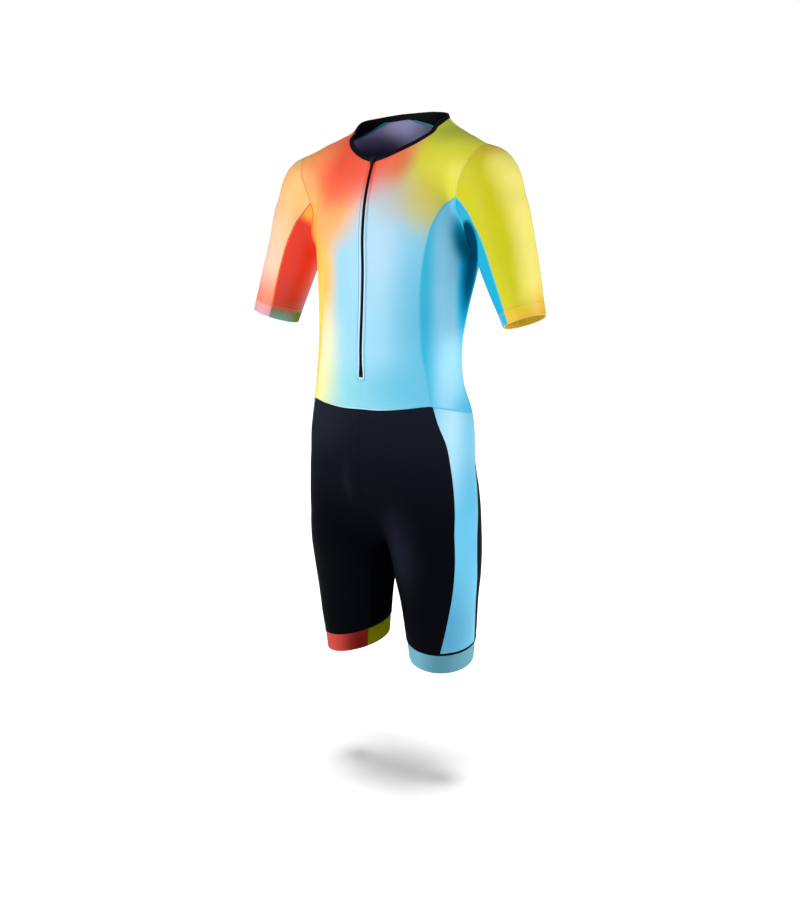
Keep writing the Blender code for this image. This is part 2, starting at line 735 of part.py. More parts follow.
def facing_grid(back):
    """The nape facing's rows on the back panel, deep beside the shoulders and narrow between them."""
    rows = back.shape[0]
    first, last = BACK_COLS - NAPE_COLS, BACK_COLS + NAPE_COLS
    share = np.abs(np.linspace(-1, 1, last - first + 1))
    drop = FACING_NARROW + (FACING_DEEP - FACING_NARROW) * np.clip((share - 0.22) / 0.78, 0, 1)
    whole = np.floor(drop)
    step = np.arange(3, -1, -1)[:, None]
    spread = whole + (drop - whole) * (step - whole) / (3 - whole)
    place = rows - 1 - np.where(step <= whole, step, spread)
    low = np.clip(np.floor(place).astype(int), 0, rows - 2)
    part = (place - low)[..., None]
    cols = np.broadcast_to(np.arange(first, last + 1), low.shape)
    return (1 - part) * back[low, cols] + part * back[low + 1, cols]


def tape_grid(front):
    """A zip tape's two edges, on the front panel's first column of faces."""
    rows = front[3 : FRONT_ROWS + 1]
    inner, outer = rows[:, 0], rows[:, 1]
    width = outer[:, 0] - inner[:, 0]
    at = lambda x: inner + (outer - inner) * ((x - inner[:, 0]) / width)[:, None]
    return np.stack([at(TAPE_IN), at(TAPE_OUT)], axis=1)


def chain_grid(seam, binding):
    """The zip's teeth, from its lower end to the top of the binding."""
    height = np.concatenate([[ZIP_END], seam["zip"][4:, 2], [binding[-1, 0, 2]]])
    offset = np.array([-CHAIN_HALF, CHAIN_HALF])
    x, z = np.meshgrid(offset, height)
    origin = np.stack([x, 0 * x + TORSO_LINE_Y, z], -1)
    return cast(origin, np.broadcast_to(np.array([0.0, -1.0, 0.0]), origin.shape))


# ---- the slider and its tab --------------------------------------------------------------------
def slider_frame():
    """Where the slider sits on the zip, with the directions up along it and out of it."""
    height = np.array([SLIDER_HEIGHT - 0.004, SLIDER_HEIGHT, SLIDER_HEIGHT + 0.004])
    points = on_torso(0.0, height)
    up = unit(points[2] - points[0])
    return points[1], up, np.cross(np.array([1.0, 0.0, 0.0]), up)


def placed(local):
    """Points given as across, up and out, put on the zip."""
    origin, up, out = slider_frame()
    local = np.asarray(local, float)
    across = np.array([1.0, 0.0, 0.0])
    return origin + local[..., :1] * across + local[..., 1:2] * up + local[..., 2:3] * out


def prism(outline, low, high):
    """A plate of this across-and-up outline, from low to high off the cloth."""
    count = len(outline)
    base = np.column_stack([outline, np.full(count, low)])
    points = np.concatenate([base, np.column_stack([outline, np.full(count, high)])])
    faces = [list(range(count))[::-1], list(range(count, 2 * count))]
    for k in range(count):
        j = (k + 1) % count
        faces.append([k, j, j + count, k + count])
    return placed(points), faces


def slider_plate():
    """The slider's outer plate, wider at its top."""
    half, long = SLIDER_HALF, SLIDER_LENGTH / 2
    right = [(0.62 * half, -long), (0.78 * half, -0.8 * long), (0.80 * half, 0.0), (half, 0.35 * long),
             (half, 0.75 * long), (0.72 * half, long)]
    left = [(-x, y) for x, y in right[::-1]]
    return prism(np.array(right + left), SLIDER_LOW, SLIDER_HIGH)


def ring_solid(inner, outer, half, count=20):
    """The slider's arch: a ring round the tab's crossbar, its axis across the zip."""
    turn = np.linspace(0, 2 * np.pi, count, endpoint=False)
    points = []
    for x, radius in ((-half, inner), (-half, outer), (half, outer), (half, inner)):
        points.append(np.stack([0 * turn + x, PIN_UP + radius * np.cos(turn),
                                PIN_OUT + radius * np.sin(turn)], -1))
    faces = []
    for k in range(count):
        j = (k + 1) % count
        for side in range(4):
            other = (side + 1) % 4
            faces.append([side * count + k, side * count + j, other * count + j, other * count + k])
    return placed(np.concatenate(points)), faces


def tab_solid():
    """The pull tab: a plate with a window under the crossbar that the arch goes through."""
    thick, half = TAB_THICK / 2, TAB_HALF
    outer = [(-0.70 * half, thick), (0.70 * half, thick), (half, 0.0), (half, -WINDOW_LENGTH),
             (0.86 * half, -0.75 * TAB_LENGTH), (0.72 * half, -TAB_LENGTH),
             (-0.72 * half, -TAB_LENGTH), (-0.86 * half, -0.75 * TAB_LENGTH),
             (-half, -WINDOW_LENGTH), (-half, 0.0)]
    w, low, high = WINDOW_HALF, -WINDOW_LENGTH, -thick
    inner = [(-w, high), (w, high), (w, 0.7 * high + 0.3 * low), (w, 0.3 * high + 0.7 * low),
             (w, low), (0.4 * w, low), (-0.4 * w, low), (-w, low),
             (-w, 0.3 * high + 0.7 * low), (-w, 0.7 * high + 0.3 * low)]
    count = len(outer)
    points = []
    for loop in (outer, inner):
        for side in (-thick, thick):
            points += [(x, y + PIN_UP, PIN_OUT + side) for x, y in loop]
    faces = []
    for k in range(count):
        j = (k + 1) % count
        outer_low, outer_high, inner_low, inner_high = (m * count for m in range(4))
        faces.append([outer_high + j, outer_high + k, inner_high + k, inner_high + j])
        faces.append([outer_low + k, outer_low + j, inner_low + j, inner_low + k])
        faces.append([outer_low + k, outer_low + j, outer_high + j, outer_high + k][::-1])
        faces.append([inner_low + k, inner_low + j, inner_high + j, inner_high + k])
    return placed(np.array(points)), faces


# ---- building ----------------------------------------------------------------------------------
CORAL = (1.0, 0.14, 0.06)
ORANGE = (1.0, 0.38, 0.08)
YELLOW_GREEN = (0.68, 0.68, 0.06)
SKY = (0.25, 0.66, 0.86)
AQUA = (0.08, 0.46, 0.72)
RED = (0.75, 0.06, 0.04)
NAVY = (0.010, 0.012, 0.020)
BLACK = (0.012, 0.012, 0.016)
OLIVE = (0.22, 0.26, 0.01)
GREY_TEAL = (0.16, 0.42, 0.50)
BAND_RED = (0.58, 0.07, 0.04)
METAL = (0.06, 0.06, 0.065)


def material(name, colour, metallic=0.0, roughness=0.7):
    made = bpy.data.materials.new(name)
    made.use_nodes = True
    shader = made.node_tree.nodes["Principled BSDF"]
    shader.inputs["Base Color"].default_value = (*colour, 1.0)
    shader.inputs["Metallic"].default_value = metallic
    shader.inputs["Roughness"].default_value = roughness
    made.diffuse_color = (*colour, 1.0)
    return made


def add(collection, name, solid, colour, metallic=0.0, roughness=0.7, flat=False):
    """A named mesh object from points and faces, facing out."""
    points, faces = solid
    mesh = bpy.data.meshes.new(name)
    mesh.from_pydata([tuple(p) for p in points], [], [list(map(int, f)) for f in faces])
    mesh.update()
    if not flat:
        mesh.shade_smooth()
    mesh.materials.append(material(name, colour, metallic, roughness))
    made = bpy.data.objects.new(name, mesh)
    collection.objects.link(made)
    return made


def clear_scene():
    for old in list(bpy.data.objects):
        bpy.data.objects.remove(old, do_unlink=True)


def build():
    clear_scene()
    suit = bpy.data.collections.new("triathlon_suit")
    bpy.context.scene.collection.children.link(suit)
    seam = left_seams()
    grids = left_grids(seam)
    colours = {
        "front": (YELLOW_GREEN, CORAL),
        "side": (AQUA, ORANGE),
        "sleeve": (YELLOW_GREEN, ORANGE),
        "underarm": (AQUA, RED),
        "leg_front": (NAVY, NAVY),
        "stripe": (SKY, SKY),
        "leg_back": (NAVY, NAVY),
        "leg_inner": (NAVY, NAVY),
    }
    for name, (left_colour, right_colour) in colours.items():
        add(suit, name + "_left", wall(grids[name]), left_colour)
        add(suit, name + "_right", wall(mirrored(grids[name])), right_colour)
    add(suit, "back", wall(grids["back"]), SKY)

    cuff = cuff_grid(seam)
    add(suit, "cuff_left", wall(cuff, 0.0001, WALL + 0.0003, ring=True), YELLOW_GREEN)
    add(suit, "cuff_right", wall(mirrored(cuff), 0.0001, WALL + 0.0003, ring=True), ORANGE)
    outer = band_grid(seam, ("front", "side", "back"))
    inner = band_grid(seam, ("inner",))
    deep = WALL + BAND_SINK
    add(suit, "gripper_outer_left", wall(outer, -BAND_SINK, deep), GREY_TEAL)
    add(suit, "gripper_outer_right", wall(mirrored(outer), -BAND_SINK, deep), BAND_RED)
    add(suit, "gripper_inner_left", wall(inner, -BAND_SINK, deep), GREY_TEAL)
    add(suit, "gripper_inner_right", wall(mirrored(inner), -BAND_SINK, deep), OLIVE)

    binding = binding_grid(seam)
    rise = np.array([BINDING_OUT, BINDING_OUT + 0.0002, BINDING_OUT - 0.0002])[:, None]
    sink = np.array([BINDING_IN, BINDING_IN + 0.0001, BINDING_IN - 0.0004])[:, None]
    add(suit, "neck_binding", wall(binding, rise, sink), BLACK)
    facing = facing_grid(grids["back"])
    add(suit, "neck_facing",
        wall(facing, -WALL - FACING_GAP, WALL + FACING_GAP + FACING_THICK, gap=0.0006), BLACK)
    tape = tape_grid(grids["front"])
    under = WALL + SEAM_GAP
    add(suit, "zip_tape_left", wall(tape, -under, under + TAPE_THICK), BLACK)
    add(suit, "zip_tape_right", wall(mirrored(tape), -under, under + TAPE_THICK), BLACK)
    chain = chain_grid(seam, binding)
    add(suit, "zip_chain", wall(chain, CHAIN_OUT, CHAIN_IN, gap=0.0), BLACK)
    slider = add(suit, "zip_slider", slider_plate(), METAL, 0.8, 0.4, flat=True)
    arch = add(suit, "arch_helper", ring_solid(ARCH_INNER, ARCH_OUTER, ARCH_HALF), METAL, flat=True)
    arch.hide_render = True
    joined = slider.modifiers.new("arch", "BOOLEAN")
    joined.operation, joined.solver, joined.object = "UNION", "EXACT", arch
    add(suit, "pull_tab", tab_solid(), METAL, 0.8, 0.4, flat=True)


if __name__ == "__main__":
    build()
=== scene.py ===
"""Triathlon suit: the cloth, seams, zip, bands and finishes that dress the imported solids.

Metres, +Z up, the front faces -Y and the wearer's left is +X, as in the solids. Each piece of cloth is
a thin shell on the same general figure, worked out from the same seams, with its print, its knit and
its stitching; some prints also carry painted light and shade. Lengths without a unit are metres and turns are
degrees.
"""
import logging
from dataclasses import dataclass, field
from enum import Enum
from typing import Callable, Sequence

import bpy
import numpy as np
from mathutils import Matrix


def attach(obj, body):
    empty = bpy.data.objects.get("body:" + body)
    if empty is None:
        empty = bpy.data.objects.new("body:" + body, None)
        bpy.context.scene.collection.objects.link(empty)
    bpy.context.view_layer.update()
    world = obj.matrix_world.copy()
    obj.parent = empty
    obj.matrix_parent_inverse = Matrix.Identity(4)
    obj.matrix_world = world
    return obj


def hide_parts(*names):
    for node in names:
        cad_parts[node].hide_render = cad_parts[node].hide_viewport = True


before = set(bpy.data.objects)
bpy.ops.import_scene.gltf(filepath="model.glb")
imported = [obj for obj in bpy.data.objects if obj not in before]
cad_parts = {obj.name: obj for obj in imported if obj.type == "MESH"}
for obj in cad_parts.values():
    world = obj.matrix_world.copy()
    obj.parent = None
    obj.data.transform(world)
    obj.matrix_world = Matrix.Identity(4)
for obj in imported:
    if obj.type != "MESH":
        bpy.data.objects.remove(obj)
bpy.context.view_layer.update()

LOG = logging.getLogger("triathlon_suit")
Array = np.ndarray
Colour = tuple[float, float, float]
Point = tuple[float, float, float]
Mesh = tuple[Array, Array, Array]
Piece = bpy.types.Object
MIRROR = np.array([-1.0, 1.0, 1.0])
ACROSS = np.array([1.0, 0.0, 0.0])
MILLI = 0.001
SHARP_EDGE = np.radians(50.0)


class Side(Enum):
    """A side of the wearer."""

    LEFT = "left"
    RIGHT = "right"

    @property
    def mirror(self) -> Array:
        """What a point of the left half is multiplied by to lie on this side."""
        return MIRROR if self is Side.RIGHT else np.ones(3)


def unit(vectors: Array) -> Array:
    """Each vector divided by its length."""
    return vectors / np.maximum(np.linalg.norm(vectors, axis=-1, keepdims=True), 1e-12)


# ---- the figure and the cut --------------------------------------------------------------------
class Table:
    """A short table whose columns are read anywhere down its first one."""

    def __init__(self, *rows: Sequence[float]) -> None:
        """Sorts the rows by their first column and takes the slopes between them."""
        data = np.array(sorted(rows), float)
        self.place, self.value = data[:, 0], data[:, 1:]
        self.slope = np.gradient(self.value, self.place, axis=0)

    def at(self, where: Array) -> Array:
        """The other columns at these places.

        Formula: the cubic through the rows on each side, with the rows' own slopes.

        Args:
            where: places down the first column, any shape.

        Returns:
            An array with one more axis, of the other columns.
        """
        place = np.clip(where, self.place[0], self.place[-1])
        row = np.clip(np.searchsorted(self.place, place, side="right") - 1, 0, len(self.place) - 2)
        span = (self.place[row + 1] - self.place[row])[..., None]
        s = (place - self.place[row])[..., None] / span
        return (
            (1 + 2 * s) * (1 - s) ** 2 * self.value[row]
            + s * (1 - s) ** 2 * span * self.slope[row]
            + s * s * (3 - 2 * s) * self.value[row + 1]
            + s * s * (s - 1) * span * self.slope[row + 1]
        )


def soft_min(a: Array, b: Array, reach: float) -> Array:
    """The smaller of two fields, blended where they are within reach of each other."""
    mix = np.clip(0.5 + 0.5 * (b - a) / reach, 0, 1)
    return b * (1 - mix) + a * mix - reach * mix * (1 - mix)


def soft_max(a: Array, b: Array, reach: float) -> Array:
    """The larger of two fields, blended where they are within reach of each other."""
    return -soft_min(-a, -b, reach)


def ring_distance(x: Array, y: Array, half_x: Array, half_y: Array, square: Array | float) -> Array:
    """Distance along the ray from the middle to a rounded ring: reach less reach over its share."""
    reach = np.hypot(x, y) + 1e-9
    away = (np.abs(x / half_x) ** square + np.abs(y / half_y) ** square) ** (1 / square)
    return reach - reach / (away + 1e-9 / half_x)


@dataclass(frozen=True)
class Figure:
    """The general figure that the cloth lies on, as one smooth field below zero inside."""

    # height, centre_y, half_width, half_depth, squareness
    torso: Table = Table(
        (-0.01, 0.016, 0.098, 0.04, 2.1), (-0.04, 0.0055, 0.108, 0.066, 2.1),
        (-0.07, 0.005, 0.139, 0.087, 2.2), (-0.12, 0.0, 0.146, 0.103, 2.3),
        (-0.18, -0.003, 0.147, 0.11, 2.3), (-0.24, -0.01, 0.14, 0.103, 2.3),
        (-0.3, -0.022, 0.133, 0.094, 2.2), (-0.36, -0.033, 0.129, 0.087, 2.2),
        (-0.42, -0.036, 0.135, 0.084, 2.2), (-0.47, -0.028, 0.146, 0.094, 2.2),
        (-0.53, -0.027, 0.15, 0.102, 2.2), (-0.59, -0.027, 0.15, 0.101, 2.1),
        (-0.64, -0.02, 0.145, 0.086, 2.1), (-0.69, -0.006, 0.13, 0.058, 2.0))
    # height, centre_y, half_width, half_depth
    neck: Table = Table(
        (0.06, 0.0035, 0.077, 0.049), (0.0, 0.014, 0.0805, 0.045), (-0.08, 0.0045, 0.08, 0.054))
    # across, centre_y, centre_z, half_y, half_z
    yoke: Table = Table(
        (0.0, 0.004, -0.061, 0.067, 0.057), (0.07, 0.016, -0.0675, 0.062, 0.054),
        (0.11, 0.0055, -0.071, 0.061, 0.054), (0.15, -0.006, -0.093, 0.052, 0.06),
        (0.185, -0.015, -0.106, 0.038, 0.042))
    # along, half_minor, half_major
    arm: Table = Table(
        (-0.03, 0.044, 0.045), (0.0, 0.048, 0.045), (0.05, 0.0535, 0.053), (0.11, 0.0495, 0.0485),
        (0.17, 0.0435, 0.0455), (0.23, 0.0355, 0.0425), (0.28, 0.033, 0.041))
    # height, centre_x, centre_y, half_x, half_y
    leg: Table = Table(
        (-0.58, 0.08, -0.014, 0.058, 0.08), (-0.64, 0.08, -0.016, 0.071, 0.096),
        (-0.7, 0.082, -0.014, 0.074, 0.094), (-0.75, 0.084, -0.011, 0.072, 0.084),
        (-0.8, 0.0865, -0.009, 0.065, 0.075), (-0.85, 0.088, -0.006, 0.06, 0.071),
        (-0.9, 0.088, -0.003, 0.0555, 0.066), (-0.96, 0.088, -0.001, 0.052, 0.062))
    shoulder_joint: Point = (0.1695, -0.013, -0.0955)
    cuff_centre: Point = (0.247, -0.0265, -0.318)
    arm_twist: float = 30.0
    torso_line: float = -0.015
    torso_ends: tuple[float, float] = (-0.69, -0.01)
    neck_ends: tuple[float, float] = (-0.12, 0.1)
    yoke_end: float = 0.185
    leg_top: float = -0.58
    shoulder_ball: float = 0.052
    # how far the ends of the limbs, and the places where they meet, are rounded
    end_blend: float = 0.03
    neck_end_blend: float = 0.02
    body_blend: float = 0.035
    neck_blend: float = 0.028
    arm_blend: float = 0.02
    legs_blend: float = 0.012

    def arm_frame(self) -> tuple[Array, Array, Array, float]:
        """The left arm's axis, its section's minor and major axes, and its length.

        Returns:
            Three unit vectors and a length.
        """
        along = np.subtract(self.cuff_centre, self.shoulder_joint)
        length = float(np.linalg.norm(along))
        along = along / length
        twist = np.radians(self.arm_twist)
        minor = np.array([np.cos(twist), np.sin(twist), 0.0])
        minor = unit(minor - along * (minor @ along))
        return along, minor, np.cross(along, minor), length

    def distance(self, p: Array) -> Array:
        """Signed distance, roughly, below zero inside.

        Formula: rounded rings up the torso, neck, shoulders, arms and legs, joined by soft minima.

        Args:
            p: points, with x, y and z on the last axis.

        Returns:
            One number for each point.
        """
        x, y, z = np.abs(p[..., 0]), p[..., 1], p[..., 2]
        centre, width, depth, square = np.moveaxis(self.torso.at(z), -1, 0)
        body = ring_distance(x, y - centre, width, depth, square)
        low, high = self.torso_ends
        body = soft_max(soft_max(body, z - high, self.end_blend), low - z, self.end_blend)
        centre, level, half_y, half_z = np.moveaxis(self.yoke.at(x), -1, 0)
        beam = ring_distance(y - centre, z - level, half_y, half_z, 2.0)
        body = soft_min(body, soft_max(beam, x - self.yoke_end, self.end_blend), self.body_blend)
        centre, width, depth = np.moveaxis(self.neck.at(z), -1, 0)
        ring = ring_distance(x, y - centre, width, depth, 2.0)
        low, high = self.neck_ends
        ring = soft_max(soft_max(ring, low - z, self.neck_end_blend), z - high, self.neck_end_blend)
        body = soft_min(body, ring, self.neck_blend)
        along, minor, major, _ = self.arm_frame()
        q = np.stack([x, y, z], -1) - self.shoulder_joint
        place = q @ along
        half_minor, half_major = np.moveaxis(self.arm.at(place), -1, 0)
        tube = ring_distance(q @ minor, q @ major, half_minor, half_major, 2.0)
        ball = np.linalg.norm(q, axis=-1) - self.shoulder_ball
        limb = soft_min(soft_max(tube, -place, self.end_blend), ball, self.arm_blend)
        body = soft_min(body, limb, self.arm_blend)
        centre_x, centre_y, half_x, half_y = np.moveaxis(self.leg.at(z), -1, 0)
        near, far = (
            soft_max(ring_distance(x * way - centre_x, y - centre_y, half_x, half_y, 2.0), z - self.leg_top,
                     self.end_blend)
            for way in (1, -1)
        )
        return soft_min(body, soft_min(near, far, self.legs_blend), self.body_blend)

    def slope(self, p: Array, step: float = 2e-4) -> Array:
        """The field's slope, by differences of a step each way."""
        shifts = np.eye(3) * step
        return np.stack([self.distance(p + s) - self.distance(p - s) for s in shifts], -1) / (2 * step)

    def normals(self, p: Array) -> Array:
        """Directions straight out of the figure."""
        return unit(self.slope(p))

    def settle(self, p: Array, rounds: int = 8) -> Array:
        """Points moved along the field's slope onto the figure.

        Args:
            p: points near the figure.
            rounds: how many moves.

        Returns:
            The moved points.
        """
        for _ in range(rounds):
            slope = self.slope(p)
            size = np.maximum((slope * slope).sum(-1), 1e-9)
            p = p - slope * (self.distance(p) / size)[..., None]
        return p

    def cast(self, origin: Array, direction: Array, far: float = 0.35, steps: int = 70) -> Array:
        """Where rays from inside the figure first leave it, by steps and then by halving.

        Args:
            origin, direction: each ray's start and way.
            far: how far it is followed.
            steps: how many places along it are tried first.

        Returns:
            One point for each ray.
        """
        direction = unit(direction)
        reach = np.linspace(0, far, steps)
        values = np.stack([self.distance(origin + direction * t) for t in reach], -1)
        first = np.maximum(np.argmax(values >= 0, axis=-1), 1)
        near, beyond = reach[first - 1], reach[first]
        for _ in range(18):
            middle = 0.5 * (near + beyond)
            inside = self.distance(origin + direction * middle[..., None]) < 0
            near, beyond = np.where(inside, middle, near), np.where(inside, beyond, middle)
        return origin + direction * (0.5 * (near + beyond))[..., None]

    def ahead(self, across: Array | float, height: Array, steps: int = 70) -> Array:
        """The front, straight ahead of the torso's middle line at these places across and heights."""
        across, height = np.broadcast_arrays(across, height)
        origin = np.stack([across, 0 * height + self.torso_line, height], -1)
        return self.cast(origin, np.broadcast_to(np.array([0.0, -1.0, 0.0]), origin.shape), steps=steps)


FIGURE = Figure()


def run_of(line: Array) -> Array:
    """The length along a line up to each of its points."""
    return np.concatenate([[0.0], np.cumsum(np.linalg.norm(np.diff(line, axis=0), axis=1))])


def at_shares(line: Array, shares: Array, values: Array | None = None) -> Array:
    """Points at these shares of a line's length, or vectors that belong to its points, read there."""
    along, values = run_of(line), line if values is None else values
    return np.stack([np.interp(shares * along[-1], along, values[:, k]) for k in range(3)], -1)


def chain_of(*lines: Array) -> Array:
    """Lines that follow each other, each starting at the last point of the one before."""
    return np.concatenate([lines[0]] + [line[1:] for line in lines[1:]])


@dataclass
class Cut:
    """The seams of the left half, each as a fine line of points on the figure."""

    # turn, height
    neckline: Table = Table(
        (0, -0.0675), (20, -0.0605), (40, -0.0505), (60, -0.038), (80, -0.021), (100, 0.0), (130, 0.012),
        (155, 0.017), (180, 0.018))
    shoulder_turn: float = 104.0
    # turn, height
    waist: Table = Table(
        (0, -0.463), (20, -0.463), (40, -0.459), (58, -0.455), (72, -0.461), (90, -0.47), (112, -0.477),
        (145, -0.482), (180, -0.484))
    waist_front_turn: float = 58.0
    waist_back_turn: float = 103.0
    # height, turn
    princess: Table = Table(
        (-0.134, 68.5), (-0.144, 65.0), (-0.167, 59.0), (-0.196, 55.0), (-0.23, 52.5), (-0.268, 51.0),
        (-0.334, 51.0), (-0.377, 52.0), (-0.411, 55.0), (-0.455, 58.0))
    # height, turn
    back_seam: Table = Table(
        (-0.14, 117.5), (-0.17, 121.5), (-0.22, 125.5), (-0.3, 126.0), (-0.38, 118.0), (-0.43, 109.5),
        (-0.4745, 103.0))
    # turn, across, along_y, height
    armhole: Table = Table(
        (-110, 0.14, 0.052, -0.122), (-80, 0.146, 0.05, -0.1), (-50, 0.156, 0.043, -0.076),
        (-25, 0.168, 0.022, -0.05), (0, 0.1745, -0.006, -0.04), (20, 0.1725, -0.024, -0.0425),
        (42, 0.164, -0.051, -0.062), (65, 0.155, -0.0625, -0.085), (88, 0.146, -0.063, -0.106),
        (110, 0.141, -0.06, -0.125), (128, 0.1385, -0.0555, -0.143), (144, 0.146, -0.05, -0.16),
        (160, 0.158, -0.036, -0.186), (180, 0.153, -0.006, -0.205), (200, 0.155, 0.022, -0.19),
        (218, 0.146, 0.04, -0.162), (234, 0.1385, 0.048, -0.142), (250, 0.14, 0.052, -0.122))
    armhole_turns: tuple[float, float, float] = (110.0, -8.0, -110.0)
    underarm_turn: float = 212.0
    # along, turn
    sleeve_seam: Table = Table((0.06, 145.0), (0.1, 138.0), (0.15, 137.0), (0.2, 139.0), (0.245, 142.0))
    cuff_height: float = 0.02
    # height, across, along_y
    stripe_front: Table = Table(
        (-0.455, 0.116, -0.088), (-0.4805, 0.124, -0.086), (-0.519, 0.1355, -0.076),
        (-0.562, 0.1415, -0.07), (-0.618, 0.148, -0.067), (-0.671, 0.149, -0.066),
        (-0.726, 0.145, -0.062), (-0.782, 0.1375, -0.0595), (-0.828, 0.129, -0.061),
        (-0.89, 0.115, -0.0635))
    stripe_rear: Table = Table(
        (-0.4745, 0.145, 0.018), (-0.53, 0.15, 0.011), (-0.59, 0.153, 0.004), (-0.65, 0.153, -0.001),
        (-0.72, 0.152, -0.002), (-0.795, 0.146, 0.004), (-0.9, 0.138, 0.016))
    inner_front: Table = Table(
        (-0.699, 0.0, -0.046), (-0.708, 0.012, -0.06), (-0.735, 0.0225, -0.06), (-0.793, 0.0315, -0.052),
        (-0.89, 0.04, -0.04))
    inner_back: Table = Table(
        (-0.688, 0.0, 0.046), (-0.702, 0.008, 0.062), (-0.73, 0.02, 0.068), (-0.79, 0.03, 0.058),
        (-0.89, 0.034, 0.054))
    centre_front: Table = Table(
        (-0.463, 0, -0.122), (-0.53, 0, -0.13), (-0.6, 0, -0.124), (-0.65, 0, -0.097), (-0.68, 0, -0.073),
        (-0.699, 0, -0.046))
    centre_back: Table = Table(
        (-0.484, 0, 0.068), (-0.55, 0, 0.076), (-0.61, 0, 0.076), (-0.66, 0, 0.064), (-0.688, 0, 0.046))
    band_top: float = -0.868
    band_dip_front: float = 0.13
    band_dip_out: float = 0.15
    band_height: float = 0.036
    band_reach: float = 0.14
    zip_half: float = 0.0037
    zip_depth: float = 0.069
    zip_end: float = -0.405
    zip_closed: float = 0.004
    zip_opened: float = 0.0015
    zip_steps: int = 30
    sleeve_lead: float = 0.03
    crotch_half: float = 0.046
    crotch_heights: tuple[float, float] = (-0.703, -0.692)
    samples: int = 200
    seam: dict[str, Array] = field(default_factory=dict)

    def even(self, line: Array) -> Array:
        """The line in equal steps, on the figure, with its two ends kept."""
        out = FIGURE.settle(at_shares(line, np.linspace(0, 1, self.samples)), 4)
        out[0], out[-1] = line[0], line[-1]
        return out

    def on_torso(self, turn: Array, height: Array) -> Array:
        """Where a ray at this turn and height leaves the torso."""
        turn, height = np.broadcast_arrays(np.radians(turn), height)
        origin = np.stack([0 * height, 0 * height + FIGURE.torso_line, height], -1)
        return FIGURE.cast(origin, np.stack([np.sin(turn), -np.cos(turn), 0 * turn], -1))

    def on_arm(self, along: Array, turn: Array) -> Array:
        """Where a ray at this place and turn leaves the left arm.

        Args:
            along: place along the arm's axis.
            turn: turn round it, from the minor axis to the major one.

        Returns:
            Points on the figure.
        """
        axis, minor, major, _ = FIGURE.arm_frame()
        along, turn = np.broadcast_arrays(along, np.radians(turn))
        origin = np.array(FIGURE.shoulder_joint) + along[..., None] * axis
        ray = np.cos(turn)[..., None] * minor + np.sin(turn)[..., None] * major
        return FIGURE.cast(origin, ray, far=0.1, steps=30)

    def down(self, table: Table) -> Array:
        """A seam down a table of height, across and along_y, settled on the figure."""
        height = np.linspace(table.place[-1], table.place[0], 160)
        return FIGURE.settle(np.concatenate([table.at(height), height[:, None]], -1))

    def round_torso(self, table: Table, first: float, last: float) -> Array:
        """A seam round the torso, from one turn to another."""
        turn = np.linspace(first, last, 120)
        return self.on_torso(turn, table.at(turn)[..., 0])

    def upright(self, table: Table, start: Array, end: Array) -> Array:
        """A seam down the torso from a start point to an end point."""
        height = np.linspace(table.place[-1], table.place[0], 120)
        line = self.on_torso(table.at(height)[..., 0], height)
        return self.even(np.concatenate([start[None], line[1:-1], end[None]]))

    def band_level(self, x: Array, y: Array) -> Array:
        """Height of the thigh band's upper edge on the left leg: a plane that dips forwards and out."""
        centre = FIGURE.leg.at(np.array(self.band_top))
        return self.band_top + self.band_dip_front * (y - centre[1]) - self.band_dip_out * (x - centre[0])

    def thigh_ring(self, first: float, last: float, drop: float = 0.0) -> Array:
        """Points round the left thigh on the band's upper plane, or that plane moved down.

        Args:
            first, last: turns, from the front outwards.
            drop: how far down.

        Returns:
            Points on the figure.
        """
        turn = np.radians(np.linspace(first, last, 160))
        centre = FIGURE.leg.at(np.array(self.band_top))
        ray = np.stack([np.sin(turn), -np.cos(turn), 0 * turn], -1)
        points = np.array([centre[0], centre[1], 0.0]) + 0.06 * ray
        for _ in range(3):
            level = self.band_level(points[:, 0], points[:, 1]) - drop
            origin = np.stack([0 * turn + centre[0], 0 * turn + centre[1], level], -1)
            points = FIGURE.cast(origin, ray, far=self.band_reach, steps=30)
        return points

    def thigh_turn(self, point: Array) -> float:
        """Turn of a point round the left thigh, from the front outwards."""
        centre = FIGURE.leg.at(np.array(self.band_top))
        return float(np.degrees(np.arctan2(point[0] - centre[0], centre[1] - point[1])) % 360)

    def to_band(self, table: Table, start: Array) -> Array:
        """A seam of the shorts from a start point down to the band's upper edge.

        Args:
            table: height, across and along_y.
            start: the start point.

        Returns:
            The seam.
        """
        line = self.down(table)
        line = line[line[:, 2] > self.band_level(line[:, 0], line[:, 1])]
        turn = self.thigh_turn(line[-1])
        return self.even(np.concatenate([start[None], line[1:-1], self.thigh_ring(turn, turn + 0.5)[:1]]))

